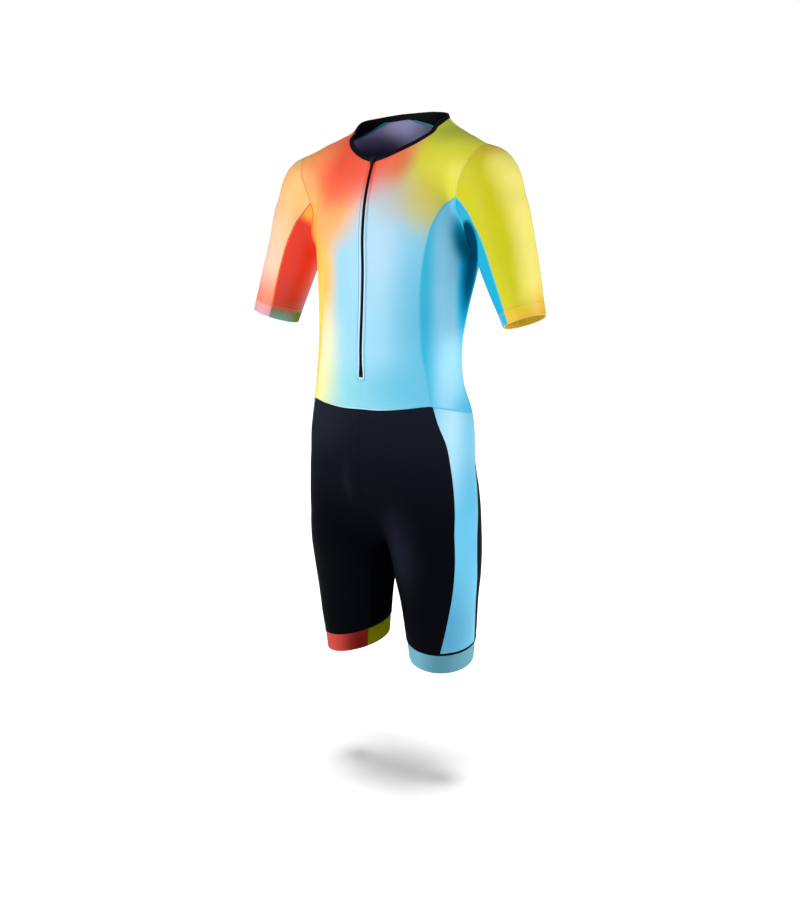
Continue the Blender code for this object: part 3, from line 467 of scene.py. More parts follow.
    def build(self) -> dict[str, Array]:
        """Works out every seam.

        Returns:
            The seams by name, each a line of points on the figure.
        """
        seam = self.seam
        seam["waist_front"] = self.even(self.round_torso(self.waist, 0.0, self.waist_front_turn))
        seam["waist_side"] = self.even(
            self.round_torso(self.waist, self.waist_front_turn, self.waist_back_turn))
        seam["waist_back"] = self.even(self.round_torso(self.waist, self.waist_back_turn, 180.0))
        seam["waist_back"][-1, 0] = seam["waist_front"][0, 0] = 0.0
        fore, crown, rear = self.armhole_turns
        for name, first, last in (("armhole_front", fore, crown), ("armhole_back", crown, rear),
                                  ("armhole_under", fore, rear + 360.0)):
            seam[name] = self.even(FIGURE.settle(self.armhole.at(np.linspace(first, last, 160))))
        front, back = seam["armhole_front"][0], seam["armhole_back"][-1]
        seam["armhole_under"][-1] = back
        seam["princess"] = self.upright(self.princess, front, seam["waist_front"][-1])
        seam["back_seam"] = self.upright(self.back_seam, back, seam["waist_back"][0])
        pit_turn = float(np.degrees(np.arctan2(self.zip_half, self.zip_depth)))
        seam["neck_front"] = self.even(self.round_torso(self.neckline, pit_turn, self.shoulder_turn))
        seam["neck_back"] = self.even(self.round_torso(self.neckline, self.shoulder_turn, 180.0))
        seam["neck_back"][-1, 0] = 0.0
        ends = seam["neck_front"][-1], seam["armhole_front"][-1]
        seam["shoulder"] = self.even(FIGURE.settle(np.linspace(*ends, 60)))
        self._build_zip_edge(seam)
        self._build_sleeve(seam, front, back)
        self._build_shorts(seam)
        return seam

    def _build_zip_edge(self, seam: dict[str, Array]) -> None:
        """The front's middle edge from the waist up to the neck, open for the zip.

        Args:
            seam: the seams so far, and where the new one goes.
        """
        pit = seam["neck_front"][0]
        waist = float(self.waist.value[0, 0])
        closed = np.linspace(waist, self.zip_end - self.zip_closed, self.zip_steps)
        opened = np.linspace(self.zip_end - self.zip_opened, pit[2], self.samples - self.zip_steps)
        across = np.concatenate([0 * closed, 0 * opened + self.zip_half])
        seam["zip"] = FIGURE.ahead(across, np.concatenate([closed, opened]))
        seam["zip"][-1] = pit

    def _build_sleeve(self, seam: dict[str, Array], front: Array, back: Array) -> None:
        """The two sleeve seams, the rings at the hem's stitching and the hem.

        Args:
            seam: the seams so far, and where the new ones go.
            front, back: where the armhole's front and back parts meet its underarm part.
        """
        length = FIGURE.arm_frame()[3]
        cuff_top = length - self.cuff_height
        for name, start, lead in (("sleeve_front", front, 0.0), ("sleeve_back", back, self.sleeve_lead)):
            along = np.linspace(self.sleeve_seam.place[0] + lead, cuff_top, 80)
            turn = self.sleeve_seam.at(along)[..., 0]
            turn = 2 * self.underarm_turn - turn if name == "sleeve_back" else turn
            seam[name] = self.even(np.concatenate([start[None], self.on_arm(along, turn)]))
        first = float(self.sleeve_seam.at(np.array(cuff_top))[0])
        last = 2 * self.underarm_turn - first
        for name, along in (("cuff", cuff_top), ("hem", length)):
            seam[name + "_outer"] = self.on_arm(along, np.linspace(first, last - 360.0, self.samples))
            seam[name + "_inner"] = self.on_arm(along, np.linspace(last, first, self.samples))

    def _build_shorts(self, seam: dict[str, Array]) -> None:
        """The seams of the shorts and the rings of the thigh bands.

        Args:
            seam: the seams so far, and where the new ones go.
        """
        y, z = np.linspace(-self.crotch_half, self.crotch_half, 60), np.linspace(*self.crotch_heights, 60)
        crotch = self.even(FIGURE.settle(np.stack([0 * y, y, z], -1)))
        crotch[:, 0] = 0.0
        seam["crotch"] = crotch
        seam["stripe_front"] = self.to_band(self.stripe_front, seam["waist_front"][-1])
        seam["stripe_rear"] = self.to_band(self.stripe_rear, seam["waist_back"][0])
        seam["inner_front"] = self.to_band(self.inner_front, crotch[0])
        seam["inner_back"] = self.to_band(self.inner_back, crotch[-1])
        for name, table, start, end in (
            ("centre_front", self.centre_front, seam["waist_front"][0], crotch[0]),
            ("centre_back", self.centre_back, seam["waist_back"][-1], crotch[-1]),
        ):
            line = self.down(table)
            line[0], line[-1] = start, end
            seam[name] = self.even(line)
            seam[name][:, 0] = 0.0
        turn = {name: self.thigh_turn(seam[name][-1])
                for name in ("stripe_front", "stripe_rear", "inner_front", "inner_back")}
        for name, first, last in (("front", turn["inner_front"] - 360.0, turn["stripe_front"]),
                                  ("side", turn["stripe_front"], turn["stripe_rear"]),
                                  ("back", turn["stripe_rear"], turn["inner_back"]),
                                  ("inner", turn["inner_back"], turn["inner_front"])):
            seam["thigh_" + name] = self.thigh_ring(first, last)
            seam["band_" + name] = self.thigh_ring(first, last, self.band_height)


# ---- grids and meshes --------------------------------------------------------------------------
def shares(count: int, start: bool = False, end: bool = False, fine: int = 5) -> Array:
    """Where a seam is cut: evenly, and closer together at the ends that are sewn.

    Formula: count times fine equal steps, with the first or last step cut at 0.12, 0.3 and 0.55.

    Args:
        count: how many pieces the solid cuts the seam into.
        start: cut closer at the first end.
        end: cut closer at the last end.
        fine: how many times finer than the solid.

    Returns:
        Shares of the length, from 0 to 1.
    """
    even = np.linspace(0, 1, count * fine + 1)
    near = np.array([0.12, 0.3, 0.55]) * even[1]
    return np.sort(np.concatenate([even, near if start else [], 1 - near if end else []]))


def coons(bottom: Array, top: Array, left: Array, right: Array, u: Array, v: Array) -> Array:
    """A grid between four lines that meet at their ends.

    Formula: the blend across plus the blend upwards less the blend of the four corners.

    Args:
        bottom, top: lines with a point for each u.
        left, right: lines with a point for each v.
        u, v: shares across and upwards.

    Returns:
        Points, rows from bottom to top.
    """
    u, v = u[None, :, None], v[:, None, None]
    across = (1 - u) * left[:, None] + u * right[:, None]
    upwards = (1 - v) * bottom[None] + v * top[None]
    low = (1 - u) * bottom[0] + u * bottom[-1]
    high = (1 - u) * top[0] + u * top[-1]
    return across + upwards - (1 - v) * low - v * high


Edge = Sequence[tuple[Array, int]]


def edge_points(edge: Edge, closer: bool = True, fine: int = 5) -> tuple[Array, Array]:
    """The points of a panel's edge, made of one or more seams, and their shares from 0 to 1.

    Args:
        edge: each seam's line and how many pieces the solid cuts it into.
        closer: cut closer together at the two ends.
        fine: how many times finer than the solid.

    Returns:
        The points, and the share of each counted in the solid's pieces.
    """
    lines, places, done = [], [], 0
    total = sum(count for _, count in edge)
    for number, (line, count) in enumerate(edge):
        cut = shares(count, closer and number == 0, closer and number == len(edge) - 1, fine)
        lines.append(at_shares(line, cut))
        places.append((done + cut * count) / total)
        done += count
    return chain_of(*lines), chain_of(*places)


def between(values: Array, v_from: Array, u_from: Array, v: Array, u: Array) -> Array:
    """A grid of vectors read at other shares: straight interpolation in rows, then in columns."""
    rows = np.stack([np.stack([np.interp(v, v_from, values[:, c, k]) for c in range(values.shape[1])], 1)
                     for k in range(3)], -1)
    return np.stack([np.stack([np.interp(u, u_from, rows[r, :, k]) for r in range(rows.shape[0])], 0)
                     for k in range(3)], -1)


@dataclass
class Surface:
    """A grid of points with the direction out of it: u to the right and v up, seen from outside."""

    points: Array
    normal: Array
    u: Array
    v: Array

    @classmethod
    def between_seams(cls, bottom: Edge, top: Edge, left: Edge, right: Edge) -> "Surface":
        """A panel's surface: a grid between its seams, moved onto the figure.

        Args:
            bottom, top, left, right: the panel's edges.

        Returns:
            The surface, at fine spacing, on the figure.
        """
        edges = (bottom, top, left, right)
        (low, u0), (high, _), (first, v0), (last, _) = (edge_points(e, closer=False, fine=1) for e in edges)
        flat = coons(low, high, first, last, u0, v0)
        lift = FIGURE.settle(flat, 14) - flat
        (low, u), (high, _), (first, v), (last, _) = (edge_points(e) for e in edges)
        grid = coons(low, high, first, last, u, v) + between(lift, v0, u0, v, u)
        grid[1:-1, 1:-1] = FIGURE.settle(grid[1:-1, 1:-1], 4)
        grid[0], grid[-1], grid[:, 0], grid[:, -1] = low, high, first, last
        return cls(grid, FIGURE.normals(grid), *cls.lengths(grid, u, v))

    @staticmethod
    def lengths(grid: Array, u: Array, v: Array) -> tuple[Array, Array]:
        """Shares turned into lengths along the grid's mean row and mean column, centred across."""
        width = np.linalg.norm(np.diff(grid, axis=1), axis=-1).sum(1).mean()
        height = np.linalg.norm(np.diff(grid, axis=0), axis=-1).sum(0).mean()
        return np.broadcast_arrays((u[None, :] - 0.5) * width, v[:, None] * height)

    def on(self, side: Side) -> "Surface":
        """A surface of the left half, mirrored for the right."""
        if side is Side.LEFT:
            return self
        return Surface(self.points[:, ::-1] * MIRROR, self.normal[:, ::-1] * MIRROR,
                       -self.u[:, ::-1], self.v[:, ::-1])

    def from_edges(self) -> Array:
        """Distance of each point from the nearest border, along its row or column.

        Returns:
            One distance for each point.
        """
        across = np.linalg.norm(np.diff(self.points, axis=1), axis=-1)
        upwards = np.linalg.norm(np.diff(self.points, axis=0), axis=-1)
        near = [
            np.pad(np.cumsum(across, 1), ((0, 0), (1, 0))),
            np.pad(np.cumsum(across[:, ::-1], 1), ((0, 0), (1, 0)))[:, ::-1],
            np.pad(np.cumsum(upwards, 0), ((1, 0), (0, 0))),
            np.pad(np.cumsum(upwards[::-1], 0), ((1, 0), (0, 0)))[::-1],
        ]
        return np.minimum.reduce(near)

    def size(self) -> tuple[float, float, float]:
        """Its widest row, its longest column and its area."""
        width = np.linalg.norm(np.diff(self.points, axis=1), axis=-1).sum(1).max()
        height = np.linalg.norm(np.diff(self.points, axis=0), axis=-1).sum(0).max()
        a = self.points[1:, 1:] - self.points[:-1, :-1]
        b = self.points[1:, :-1] - self.points[:-1, 1:]
        return float(width), float(height), float(np.linalg.norm(np.cross(a, b), axis=-1).sum() / 2)


def make_object(name: str, points: Array, faces: Array, uv: Array | None = None,
                slots: Array | None = None) -> Piece:
    """A mesh object at the origin from points and four-sided faces.

    Args:
        name: the piece's name.
        points: its vertices.
        faces: rows of four vertex numbers, anticlockwise seen from outside.
        uv: a texture place for each vertex, in metres of cloth.
        slots: a material slot for each face.

    Returns:
        The object, linked to the scene.
    """
    mesh = bpy.data.meshes.new(name)
    mesh.from_pydata(points.tolist(), [], faces.tolist())
    if uv is not None:
        loops = np.empty(len(mesh.loops), np.int32)
        mesh.loops.foreach_get("vertex_index", loops)
        mesh.uv_layers.new(name="cloth").data.foreach_set("uv", uv[loops].astype(np.float32).ravel())
    if slots is not None:
        mesh.polygons.foreach_set("material_index", slots.astype(np.int32))
    mesh.shade_smooth()
    mesh.set_sharp_from_angle(angle=SHARP_EDGE)
    mesh.update()
    made = bpy.data.objects.new(name, mesh)
    bpy.context.scene.collection.objects.link(made)
    return made


def quads(rows: int, cols: int, ring: bool = False) -> Array:
    """Faces of a grid, closed across its columns where it is a ring.

    Args:
        rows, cols: how many points each way.
        ring: the last column joins the first.

    Returns:
        Rows of four vertex numbers.
    """
    index = np.arange(rows * cols).reshape(rows, cols)
    if ring:
        index = np.concatenate([index, index[:, :1]], 1)
    return np.stack([index[:-1, :-1], index[:-1, 1:], index[1:, 1:], index[1:, :-1]], -1).reshape(-1, 4)


def rim(rows: int, cols: int, ring: bool = False) -> list[Array]:
    """Vertex numbers of a grid's borders, anticlockwise seen from outside.

    Args:
        rows, cols: how many points each way.
        ring: the last column joins the first.

    Returns:
        One closed border, or two for a ring.
    """
    index = np.arange(rows * cols).reshape(rows, cols)
    if ring:
        return [index[0], index[-1, ::-1]]
    return [np.concatenate([index[0, :-1], index[:-1, -1], index[-1, :0:-1], index[:0:-1, 0]])]


def cloth_object(name: str, surface: Surface, out: Array | float, depth: Array | float,
                 ring: bool = False) -> Piece:
    """A closed shell of cloth: the face at out above the surface, the reverse at depth below it.

    Args:
        name: the piece's name.
        surface: the grid it lies on.
        out: height of the face above the surface.
        depth: depth of the reverse below the surface.
        ring: the last column joins the first.

    Returns:
        The object, with the face in material slot 0 and the reverse in slot 1.
    """
    rows, cols = surface.points.shape[:2]
    out, depth = (np.broadcast_to(np.asarray(k, float), (rows, cols))[..., None] for k in (out, depth))
    face = (surface.points + surface.normal * out).reshape(-1, 3)
    back = (surface.points - surface.normal * depth).reshape(-1, 3)
    grid = quads(rows, cols, ring)
    parts = [grid, grid[:, ::-1] + rows * cols]
    for here in rim(rows, cols, ring):
        there = np.roll(here, -1)
        parts.append(np.stack([there, here, here + rows * cols, there + rows * cols], -1))
    faces = np.concatenate(parts)
    slots = np.zeros(len(faces), int)
    slots[len(grid):2 * len(grid)] = 1
    uv = np.stack([surface.u, surface.v], -1).reshape(-1, 2)
    return make_object(name, np.concatenate([face, back]), faces, np.concatenate([uv, uv]), slots)


def swept(path: Array, side: Array, out: Array, profile: Array, closed: bool = False) -> Mesh:
    """A closed profile carried along a path.

    Formula: point = path + side times the profile's first column + out times its second.

    Args:
        path: points of the path.
        side, out: the profile's two directions at each point.
        profile: across and out, one row a point, anticlockwise seen along the path; or one such
            profile for each point of the path.
        closed: the path joins its start.

    Returns:
        The points, the faces and a texture place for each point.
    """
    count, around = len(path), profile.shape[-2]
    profile = np.broadcast_to(profile, (count, around, 2))
    grid = path[:, None] + side[:, None] * profile[..., :1] + out[:, None] * profile[..., 1:]
    index = np.arange(count * around).reshape(count, around)
    index = np.concatenate([index, index[:, :1]], 1)
    if closed:
        index = np.concatenate([index, index[:1]], 0)
    faces = np.stack([index[:-1, :-1], index[:-1, 1:], index[1:, 1:], index[1:, :-1]], -1).reshape(-1, 4)
    if not closed:
        half = around // 2
        k = np.arange(half - 1)
        for row, flip in ((0, True), (count - 1, False)):
            cap = index[row, :-1]
            strip = np.stack([cap[k], cap[k + 1], cap[around - 2 - k], cap[around - 1 - k]], -1)
            faces = np.concatenate([faces, strip[:, ::-1] if flip else strip])
    uv = np.stack(np.broadcast_arrays(profile[..., 0], run_of(path)[:, None]), -1).reshape(-1, 2)
    return grid.reshape(-1, 3), faces, uv


def softened(outline: Array, rounds: int = 2) -> Array:
    """A closed outline with its corners cut.

    Formula: each round keeps the points at a quarter and at three quarters of every side.

    Args:
        outline: its points in order.
        rounds: how many cuts.

    Returns:
        The points of the softer outline.
    """
    for _ in range(rounds):
        following = np.roll(outline, -1, 0)
        pair = np.stack([0.75 * outline + 0.25 * following, 0.25 * outline + 0.75 * following], 1)
        outline = pair.reshape(-1, outline.shape[1])
    return outline


# ---- finishes ----------------------------------------------------------------------------------
Node, Socket = bpy.types.Node, bpy.types.NodeSocket
Nodes, Material = bpy.types.NodeTree, bpy.types.Material
Inputs = dict[str | int, object]


class Tree:
    """A node tree with short calls to add nodes and join sockets."""

    def __init__(self, tree: Nodes) -> None:
        """Keeps the tree and counts its nodes for their places in the editor."""
        self.tree = tree
        self.count = 0

    def feed(self, node: Node, inputs: Inputs) -> None:
        """Sets a node's inputs, by name or number, to values, or joins them to output sockets.

        Args:
            node: the node.
            inputs: socket name or number to a value, or to an output socket to join.
        """
        for name, value in inputs.items():
            if isinstance(value, Socket):
                self.tree.links.new(value, node.inputs[name])
            else:
                node.inputs[name].default_value = value

    def node(self, kind: str, inputs: Inputs | None = None, **settings: object) -> Node:
        """A shader node of this kind, with its settings and its inputs.

        Args:
            kind: the node's Blender type, after ShaderNode.
            inputs: what feed takes.
            **settings: the node's own properties.

        Returns:
            The node.
        """
        made = self.tree.nodes.new("ShaderNode" + kind)
        made.location = (220 * (self.count % 12), -240 * (self.count // 12))
        self.count += 1
        for name, value in settings.items():
            setattr(made, name, value)
        self.feed(made, inputs or {})
        return made

    def maths(self, operation: str, a: object, b: object = 0.0, c: object = 0.0) -> Socket:
        """The result of a Math node."""
        return self.node("Math", {0: a, 1: b, 2: c}, operation=operation).outputs[0]

    def mix(self, factor: object, first: object, second: object) -> Socket:
        """The first colour mixed towards the second."""
        return self.node("Mix", {"Factor": factor, 6: first, 7: second}, data_type="RGBA").outputs[2]


class Group(Tree):
    """A shader node group with named inputs and outputs."""

    def __init__(self, name: str, inputs: dict[str, str], outputs: dict[str, str]) -> None:
        """Makes the group and its sockets.

        Args:
            name: the group's name.
            inputs, outputs: each socket's kind, Color, Float or Vector, by its name.
        """
        super().__init__(bpy.data.node_groups.new(name, "ShaderNodeTree"))
        for direction, sockets in (("INPUT", inputs), ("OUTPUT", outputs)):
            for socket, kind in sockets.items():
                self.tree.interface.new_socket(name=socket, in_out=direction, socket_type="NodeSocket" + kind)
        self.given = self.tree.nodes.new("NodeGroupInput").outputs
        self.out = self.tree.nodes.new("NodeGroupOutput")

    def giving(self, results: Inputs) -> Nodes:
        """The finished group, with its results joined to its outputs."""
        self.feed(self.out, results)
        return self.tree


class Texture(Enum):
    """The small structure of a finish."""

    KNIT = "knit"
    RIB = "rib"
    LADDER = "ladder"
    PLAIN = "plain"


class Effects:
    """The node groups that several finishes use, each built once."""

    def __init__(self) -> None:
        """Builds every group."""
        self.soft_spot = self._soft_spot()
        self.tone = self._tone()
        self.weave = {
            Texture.KNIT: self._weave("knit", self._knit, 0.16, 0.9),
            Texture.RIB: self._weave("rib", self._rib, 0.24, 0.86),
            Texture.LADDER: self._weave("ladder", self._ladder, 0.35, 0.72),
        }

    def _soft_spot(self) -> Nodes:
        """A dyed spot with a soft edge.

        Formula: the colour is mixed towards the spot's by one less a smooth step, from 1 - edge to
        1 + edge, of the length of place less centre over radii.

        Returns:
            The group.
        """
        t = Group("soft_spot", {"Colour": "Color", "Spot": "Color", "Place": "Vector", "Centre": "Vector",
                                "Radii": "Vector", "Edge": "Float", "Amount": "Float"}, {"Colour": "Color"})
        g = t.given
        away = t.node("VectorMath", {0: g["Place"], 1: g["Centre"]}, operation="SUBTRACT").outputs[0]
        share = t.node("VectorMath", {0: away, 1: g["Radii"]}, operation="DIVIDE").outputs[0]
        reach = t.node("VectorMath", {0: share}, operation="LENGTH").outputs["Value"]
        fade = t.node("MapRange", {
            "Value": reach, "From Min": t.maths("SUBTRACT", 1.0, g["Edge"]),
            "From Max": t.maths("ADD", 1.0, g["Edge"]), "To Min": g["Amount"], "To Max": 0.0,
        }, interpolation_type="SMOOTHSTEP")
        return t.giving({"Colour": t.mix(fade.outputs["Result"], g["Colour"], g["Spot"])})

    def _weave(self, name: str, draw: Callable[[Group, Socket, Socket], Socket], contrast: float,
               dark: float) -> Nodes:
        """A woven structure: its height from 0 to 1, and a tone that paints shade into its hollows.

        Formula: tone = contrast times height + dark.

        Args:
            name: the group's name.
            draw: gives the height from the place across and along the cloth, counted in pitches.
            contrast: how much the tops are lighter.
            dark: tone of the bottoms, the painted shade in the hollows.

        Returns:
            The group.
        """
        t = Group(name, {"Place": "Vector", "Pitch": "Float"}, {"Height": "Float", "WeaveShade": "Float"})
        apart = t.node("SeparateXYZ", {0: t.given["Place"]}).outputs
        height = draw(t, *(t.maths("DIVIDE", apart[axis], t.given["Pitch"]) for axis in "XY"))
        return t.giving({"Height": height, "WeaveShade": t.maths("MULTIPLY_ADD", height, contrast, dark)})

    @staticmethod
    def _knit(t: Group, u: Socket, v: Socket) -> Socket:
        """Fine warp knit: columns of small loops.

        Formula: height = |cos(pi u)| times (0.7 + 0.3 cos(2 pi (v / 0.8 + half for odd columns))).

        Args:
            t: the group.
            u, v: the place across and along.

        Returns:
            The height.
        """
        column = t.maths("ABSOLUTE", t.maths("COSINE", t.maths("MULTIPLY", u, float(np.pi))))
        odd = t.maths("MULTIPLY", t.maths("FLOOR", t.maths("ADD", u, 0.5)), 0.5)
        row = t.maths("ADD", t.maths("DIVIDE", v, 0.8), odd)
        loops = t.maths("COSINE", t.maths("MULTIPLY", row, float(2 * np.pi)))
        return t.maths("MULTIPLY", column, t.maths("MULTIPLY_ADD", loops, 0.3, 0.7))

    @staticmethod
    def _rib(t: Group, u: Socket, v: Socket) -> Socket:
        """Elastic band: ribs along it, crossed by finer threads.

        Formula: height = 0.7 cos squared (pi v) + 0.3 cos squared (1.6 pi u).

        Args:
            t: the group.
            u, v: the place across and along.

        Returns:
            The height.
        """
        waves = (t.maths("COSINE", t.maths("MULTIPLY", place, float(np.pi * times)))
                 for place, times in ((v, 1.0), (u, 1.6)))
        ribs, threads = (t.maths("MULTIPLY", wave, wave) for wave in waves)
        return t.maths("MULTIPLY_ADD", ribs, 0.7, t.maths("MULTIPLY", threads, 0.3))

    @staticmethod
    def _ladder(t: Group, u: Socket, v: Socket) -> Socket:
        """Flat seam stitching: threads that cross the seam in a close zigzag.

        Formula: height = cos squared of pi times (v + |u| / 2.6).

        Args:
            t: the group.
            u, v: the place across and along.

        Returns:
            The height.
        """
        place = t.maths("ADD", v, t.maths("DIVIDE", t.maths("ABSOLUTE", u), 2.6))
        wave = t.maths("COSINE", t.maths("MULTIPLY", place, float(np.pi)))
        return t.maths("MULTIPLY", wave, wave)

    def _tone(self) -> Nodes:
        """A colour made lighter or darker by the weave's painted shade and by faint, broad unevenness of the
        dye.

        Formula: colour times tone times (1 + amount times the noise less a half).

        Returns:
            The group.
        """
        t = Group("dye_unevenness_and_weave_shade", {"Colour": "Color", "WeaveShade": "Float", "Place": "Vector", "Amount": "Float"},
                  {"Colour": "Color"})
        g = t.given
        noise = t.node("TexNoise", {"Vector": g["Place"], "Scale": 26.0, "Detail": 3.0}).outputs["Fac"]
        uneven = t.maths("MULTIPLY_ADD", t.maths("SUBTRACT", noise, 0.5), g["Amount"], 1.0)
        tone = t.maths("MULTIPLY", uneven, g["WeaveShade"])
        toned = t.node("VectorMath", {0: g["Colour"], "Scale": tone}, operation="SCALE")
        return t.giving({"Colour": toned.outputs[0]})


@dataclass(frozen=True)
class Spot:
    """A soft spot of colour, for dye and for painted light and shade: its colour, centre and radii in
    millimetres, edge from 0 to 1, and amount.
    """

    colour: Colour
    centre: Point
    radii: Point
    edge: float = 0.8
    amount: float = 1.0


@dataclass(frozen=True)
class Colouring:
    """A dyed ground with soft spots of dye, painted light and painted shade laid over it in order."""

    ground: Colour
    spots: tuple[Spot, ...] = ()

    def lay(self, tree: Tree, effects: Effects) -> Socket:
        """Nodes that paint the ground and its spots in the object's own space.

        Args:
            tree: the material's tree.
            effects: the shared groups.

        Returns:
            The last colour socket.
        """
        if not self.spots:
            ground = tree.node("RGB").outputs[0]
            ground.default_value = (*self.ground, 1.0)
            return ground
        place = tree.node("TexCoord").outputs["Object"]
        colour: object = (*self.ground, 1.0)
        for spot in self.spots:
            centre, radii = (tuple(MILLI * k for k in size) for size in (spot.centre, spot.radii))
            colour = tree.node("Group", {
                "Colour": colour, "Spot": (*spot.colour, 1.0), "Place": place, "Centre": centre,
                "Radii": radii, "Edge": spot.edge, "Amount": spot.amount,
            }, node_tree=effects.soft_spot).outputs["Colour"]
        return colour


def new_material(name: str, inputs: Inputs) -> tuple[Material, Tree, Node]:
    """A material with its plain values set.

    Args:
        name: the material's name.
        inputs: the Principled shader's values.

    Returns:
        The material, its tree and its shader.
    """
    made = bpy.data.materials.new(name)
    made.use_nodes = True
    tree, shader = Tree(made.node_tree), made.node_tree.nodes["Principled BSDF"]
    tree.feed(shader, inputs)
    return made, tree, shader


@dataclass(frozen=True)
class ClothFinish:
    """A dyed cloth, band or thread."""

    name: str
    dye: Colouring
    texture: Texture = Texture.KNIT
    pitch: float = 0.0009
    relief: float = 0.00012
    strength: float = 0.35
    roughness: float = 0.42
    specular: float = 0.3
    sheen: float = 0.04
    sheen_roughness: float = 0.45
    uneven: float = 0.05

    def material(self, effects: Effects) -> Material:
        """The finish as a material: its colours, painted shade in the weave's hollows, structure and a soft
        sheen.

        Args:
            effects: the shared groups.

        Returns:
            The material.
        """
        made, tree, shader = new_material(self.name, {
            "Roughness": self.roughness, "Specular IOR Level": self.specular,
            "Sheen Weight": self.sheen, "Sheen Roughness": self.sheen_roughness})
        tone: object = 1.0
        if self.texture is not Texture.PLAIN:
            cloth = tree.node("UVMap", uv_map="cloth").outputs["UV"]
            woven = tree.node("Group", {"Place": cloth, "Pitch": self.pitch},
                              node_tree=effects.weave[self.texture]).outputs
            bump = tree.node("Bump", {"Strength": self.strength, "Distance": self.relief,
                                      "Height": woven["Height"]})
            tree.feed(shader, {"Normal": bump.outputs["Normal"]})
            tone = woven["WeaveShade"]
        place = tree.node("TexCoord").outputs["Object"]
        toned = tree.node("Group", {"Colour": self.dye.lay(tree, effects), "Place": place, "WeaveShade": tone,
                                    "Amount": self.uneven}, node_tree=effects.tone)
        tree.feed(shader, {"Base Color": toned.outputs["Colour"]})
        return made


@dataclass(frozen=True)
class HardFinish:
    """A moulded or painted hard surface, lightly rubbed."""

    name: str
    colour: Colour
    rubbed: Colour
    metallic: float = 0.0
    roughness: float = 0.4
    specular: float = 0.2
    grain: float = 900.0
    patches: float = 350.0
    relief: float = 0.00005

    def material(self, _effects: Effects) -> Material:
        """The finish as a material: a fine grain in the gloss, and paler rubbed patches.

        Args:
            _effects: the shared groups, which it doesn't need.

        Returns:
            The material.
        """
        made, tree, shader = new_material(self.name, {
            "Metallic": self.metallic, "Specular IOR Level": self.specular})
        place = tree.node("TexCoord").outputs["Object"]
        grain = tree.node("TexNoise", {"Vector": place, "Scale": self.grain, "Detail": 4.0}).outputs["Fac"]
        broad = tree.node("TexNoise", {"Vector": place, "Scale": self.patches}).outputs["Fac"]
        worn = tree.node("MapRange", {"Value": broad, "From Min": 0.55, "From Max": 0.72}).outputs["Result"]
        bump = tree.node("Bump", {"Strength": 0.3, "Distance": self.relief, "Height": grain})
        tree.feed(shader, {
            "Base Color": tree.mix(worn, (*self.colour, 1.0), (*self.rubbed, 1.0)),
            "Roughness": tree.maths("MULTIPLY_ADD", grain, 0.25, self.roughness - 0.12),
            "Normal": bump.outputs["Normal"]})
        return made


# ---- cloth pieces ------------------------------------------------------------------------------
@dataclass(frozen=True)
class Crease:
    """A soft trough or ridge along a straight run: its ends, half width and height, in millimetres."""

    start: Point
    end: Point
    width: float
    height: float

    def lift(self, points: Array) -> Array:
        """Height added at each point.

        Formula: height times exp(-(distance to the run / width) squared), faded towards its ends.

        Args:
            points: points of a surface.

        Returns:
            One height for each point, in metres.
        """
        start, run = MILLI * np.array(self.start), MILLI * np.subtract(self.end, self.start)
        share = np.clip(((points - start) @ run) / (run @ run), 0, 1)
        away = np.linalg.norm(points - start - share[..., None] * run, axis=-1) / (MILLI * self.width)
        return MILLI * self.height * np.exp(-(away ** 2)) * 4 * share * (1 - share)


CREASES = (
    Crease((122, -64, -230), (124, -62, -440), 14, 1.6),
    Crease((-122, -64, -230), (-124, -62, -430), 14, 1.3),
    Crease((144, -44, -170), (134, -18, -310), 9, -0.8),
    Crease((-140, -50, -170), (-134, -30, -290), 10, -1.2),
    Crease((216, -60, -130), (238, -68, -280), 13, -1.5),
    Crease((250, -46, -150), (272, -50, -295), 12, 1.2),
    Crease((-206, -66, -150), (-238, -66, -290), 12, -1.1),
    Crease((-196, -20, -60), (-240, -50, -150), 14, 0.9),
    Crease((-12, -124, -540), (-16, -120, -616), 12, 1.8),
    Crease((66, -120, -640), (72, -112, -800), 20, 1.6),
    Crease((-76, -112, -650), (-80, -100, -800), 20, 1.2),
    Crease((60, 60, -430), (-60, 62, -442), 11, -1.3),
    Crease((70, 66, -398), (-50, 70, -404), 12, 1.1),
    Crease((100, -70, -878), (102, -70, -914), 8, -1.1),
    Crease((128, -48, -878), (130, -48, -914), 7, 0.9),
    Crease((60, -66, -878), (62, -64, -914), 8, 0.8),
    Crease((-92, -70, -878), (-94, -68, -914), 8, 0.9),
    Crease((-60, -62, -878), (-58, -60, -914), 7, -0.9),
)


def gathered(parts: Sequence[Mesh]) -> Mesh:
    """Several meshes as one: points, faces and texture places.

    Args:
        parts: the meshes.

    Returns:
        The whole mesh.
    """
    points, faces, places = zip(*parts)
    first = np.cumsum([0] + [len(mesh) for mesh in points[:-1]])
    faces = [mesh + start for mesh, start in zip(faces, first)]
    return np.concatenate(points), np.concatenate(faces), np.concatenate(places)


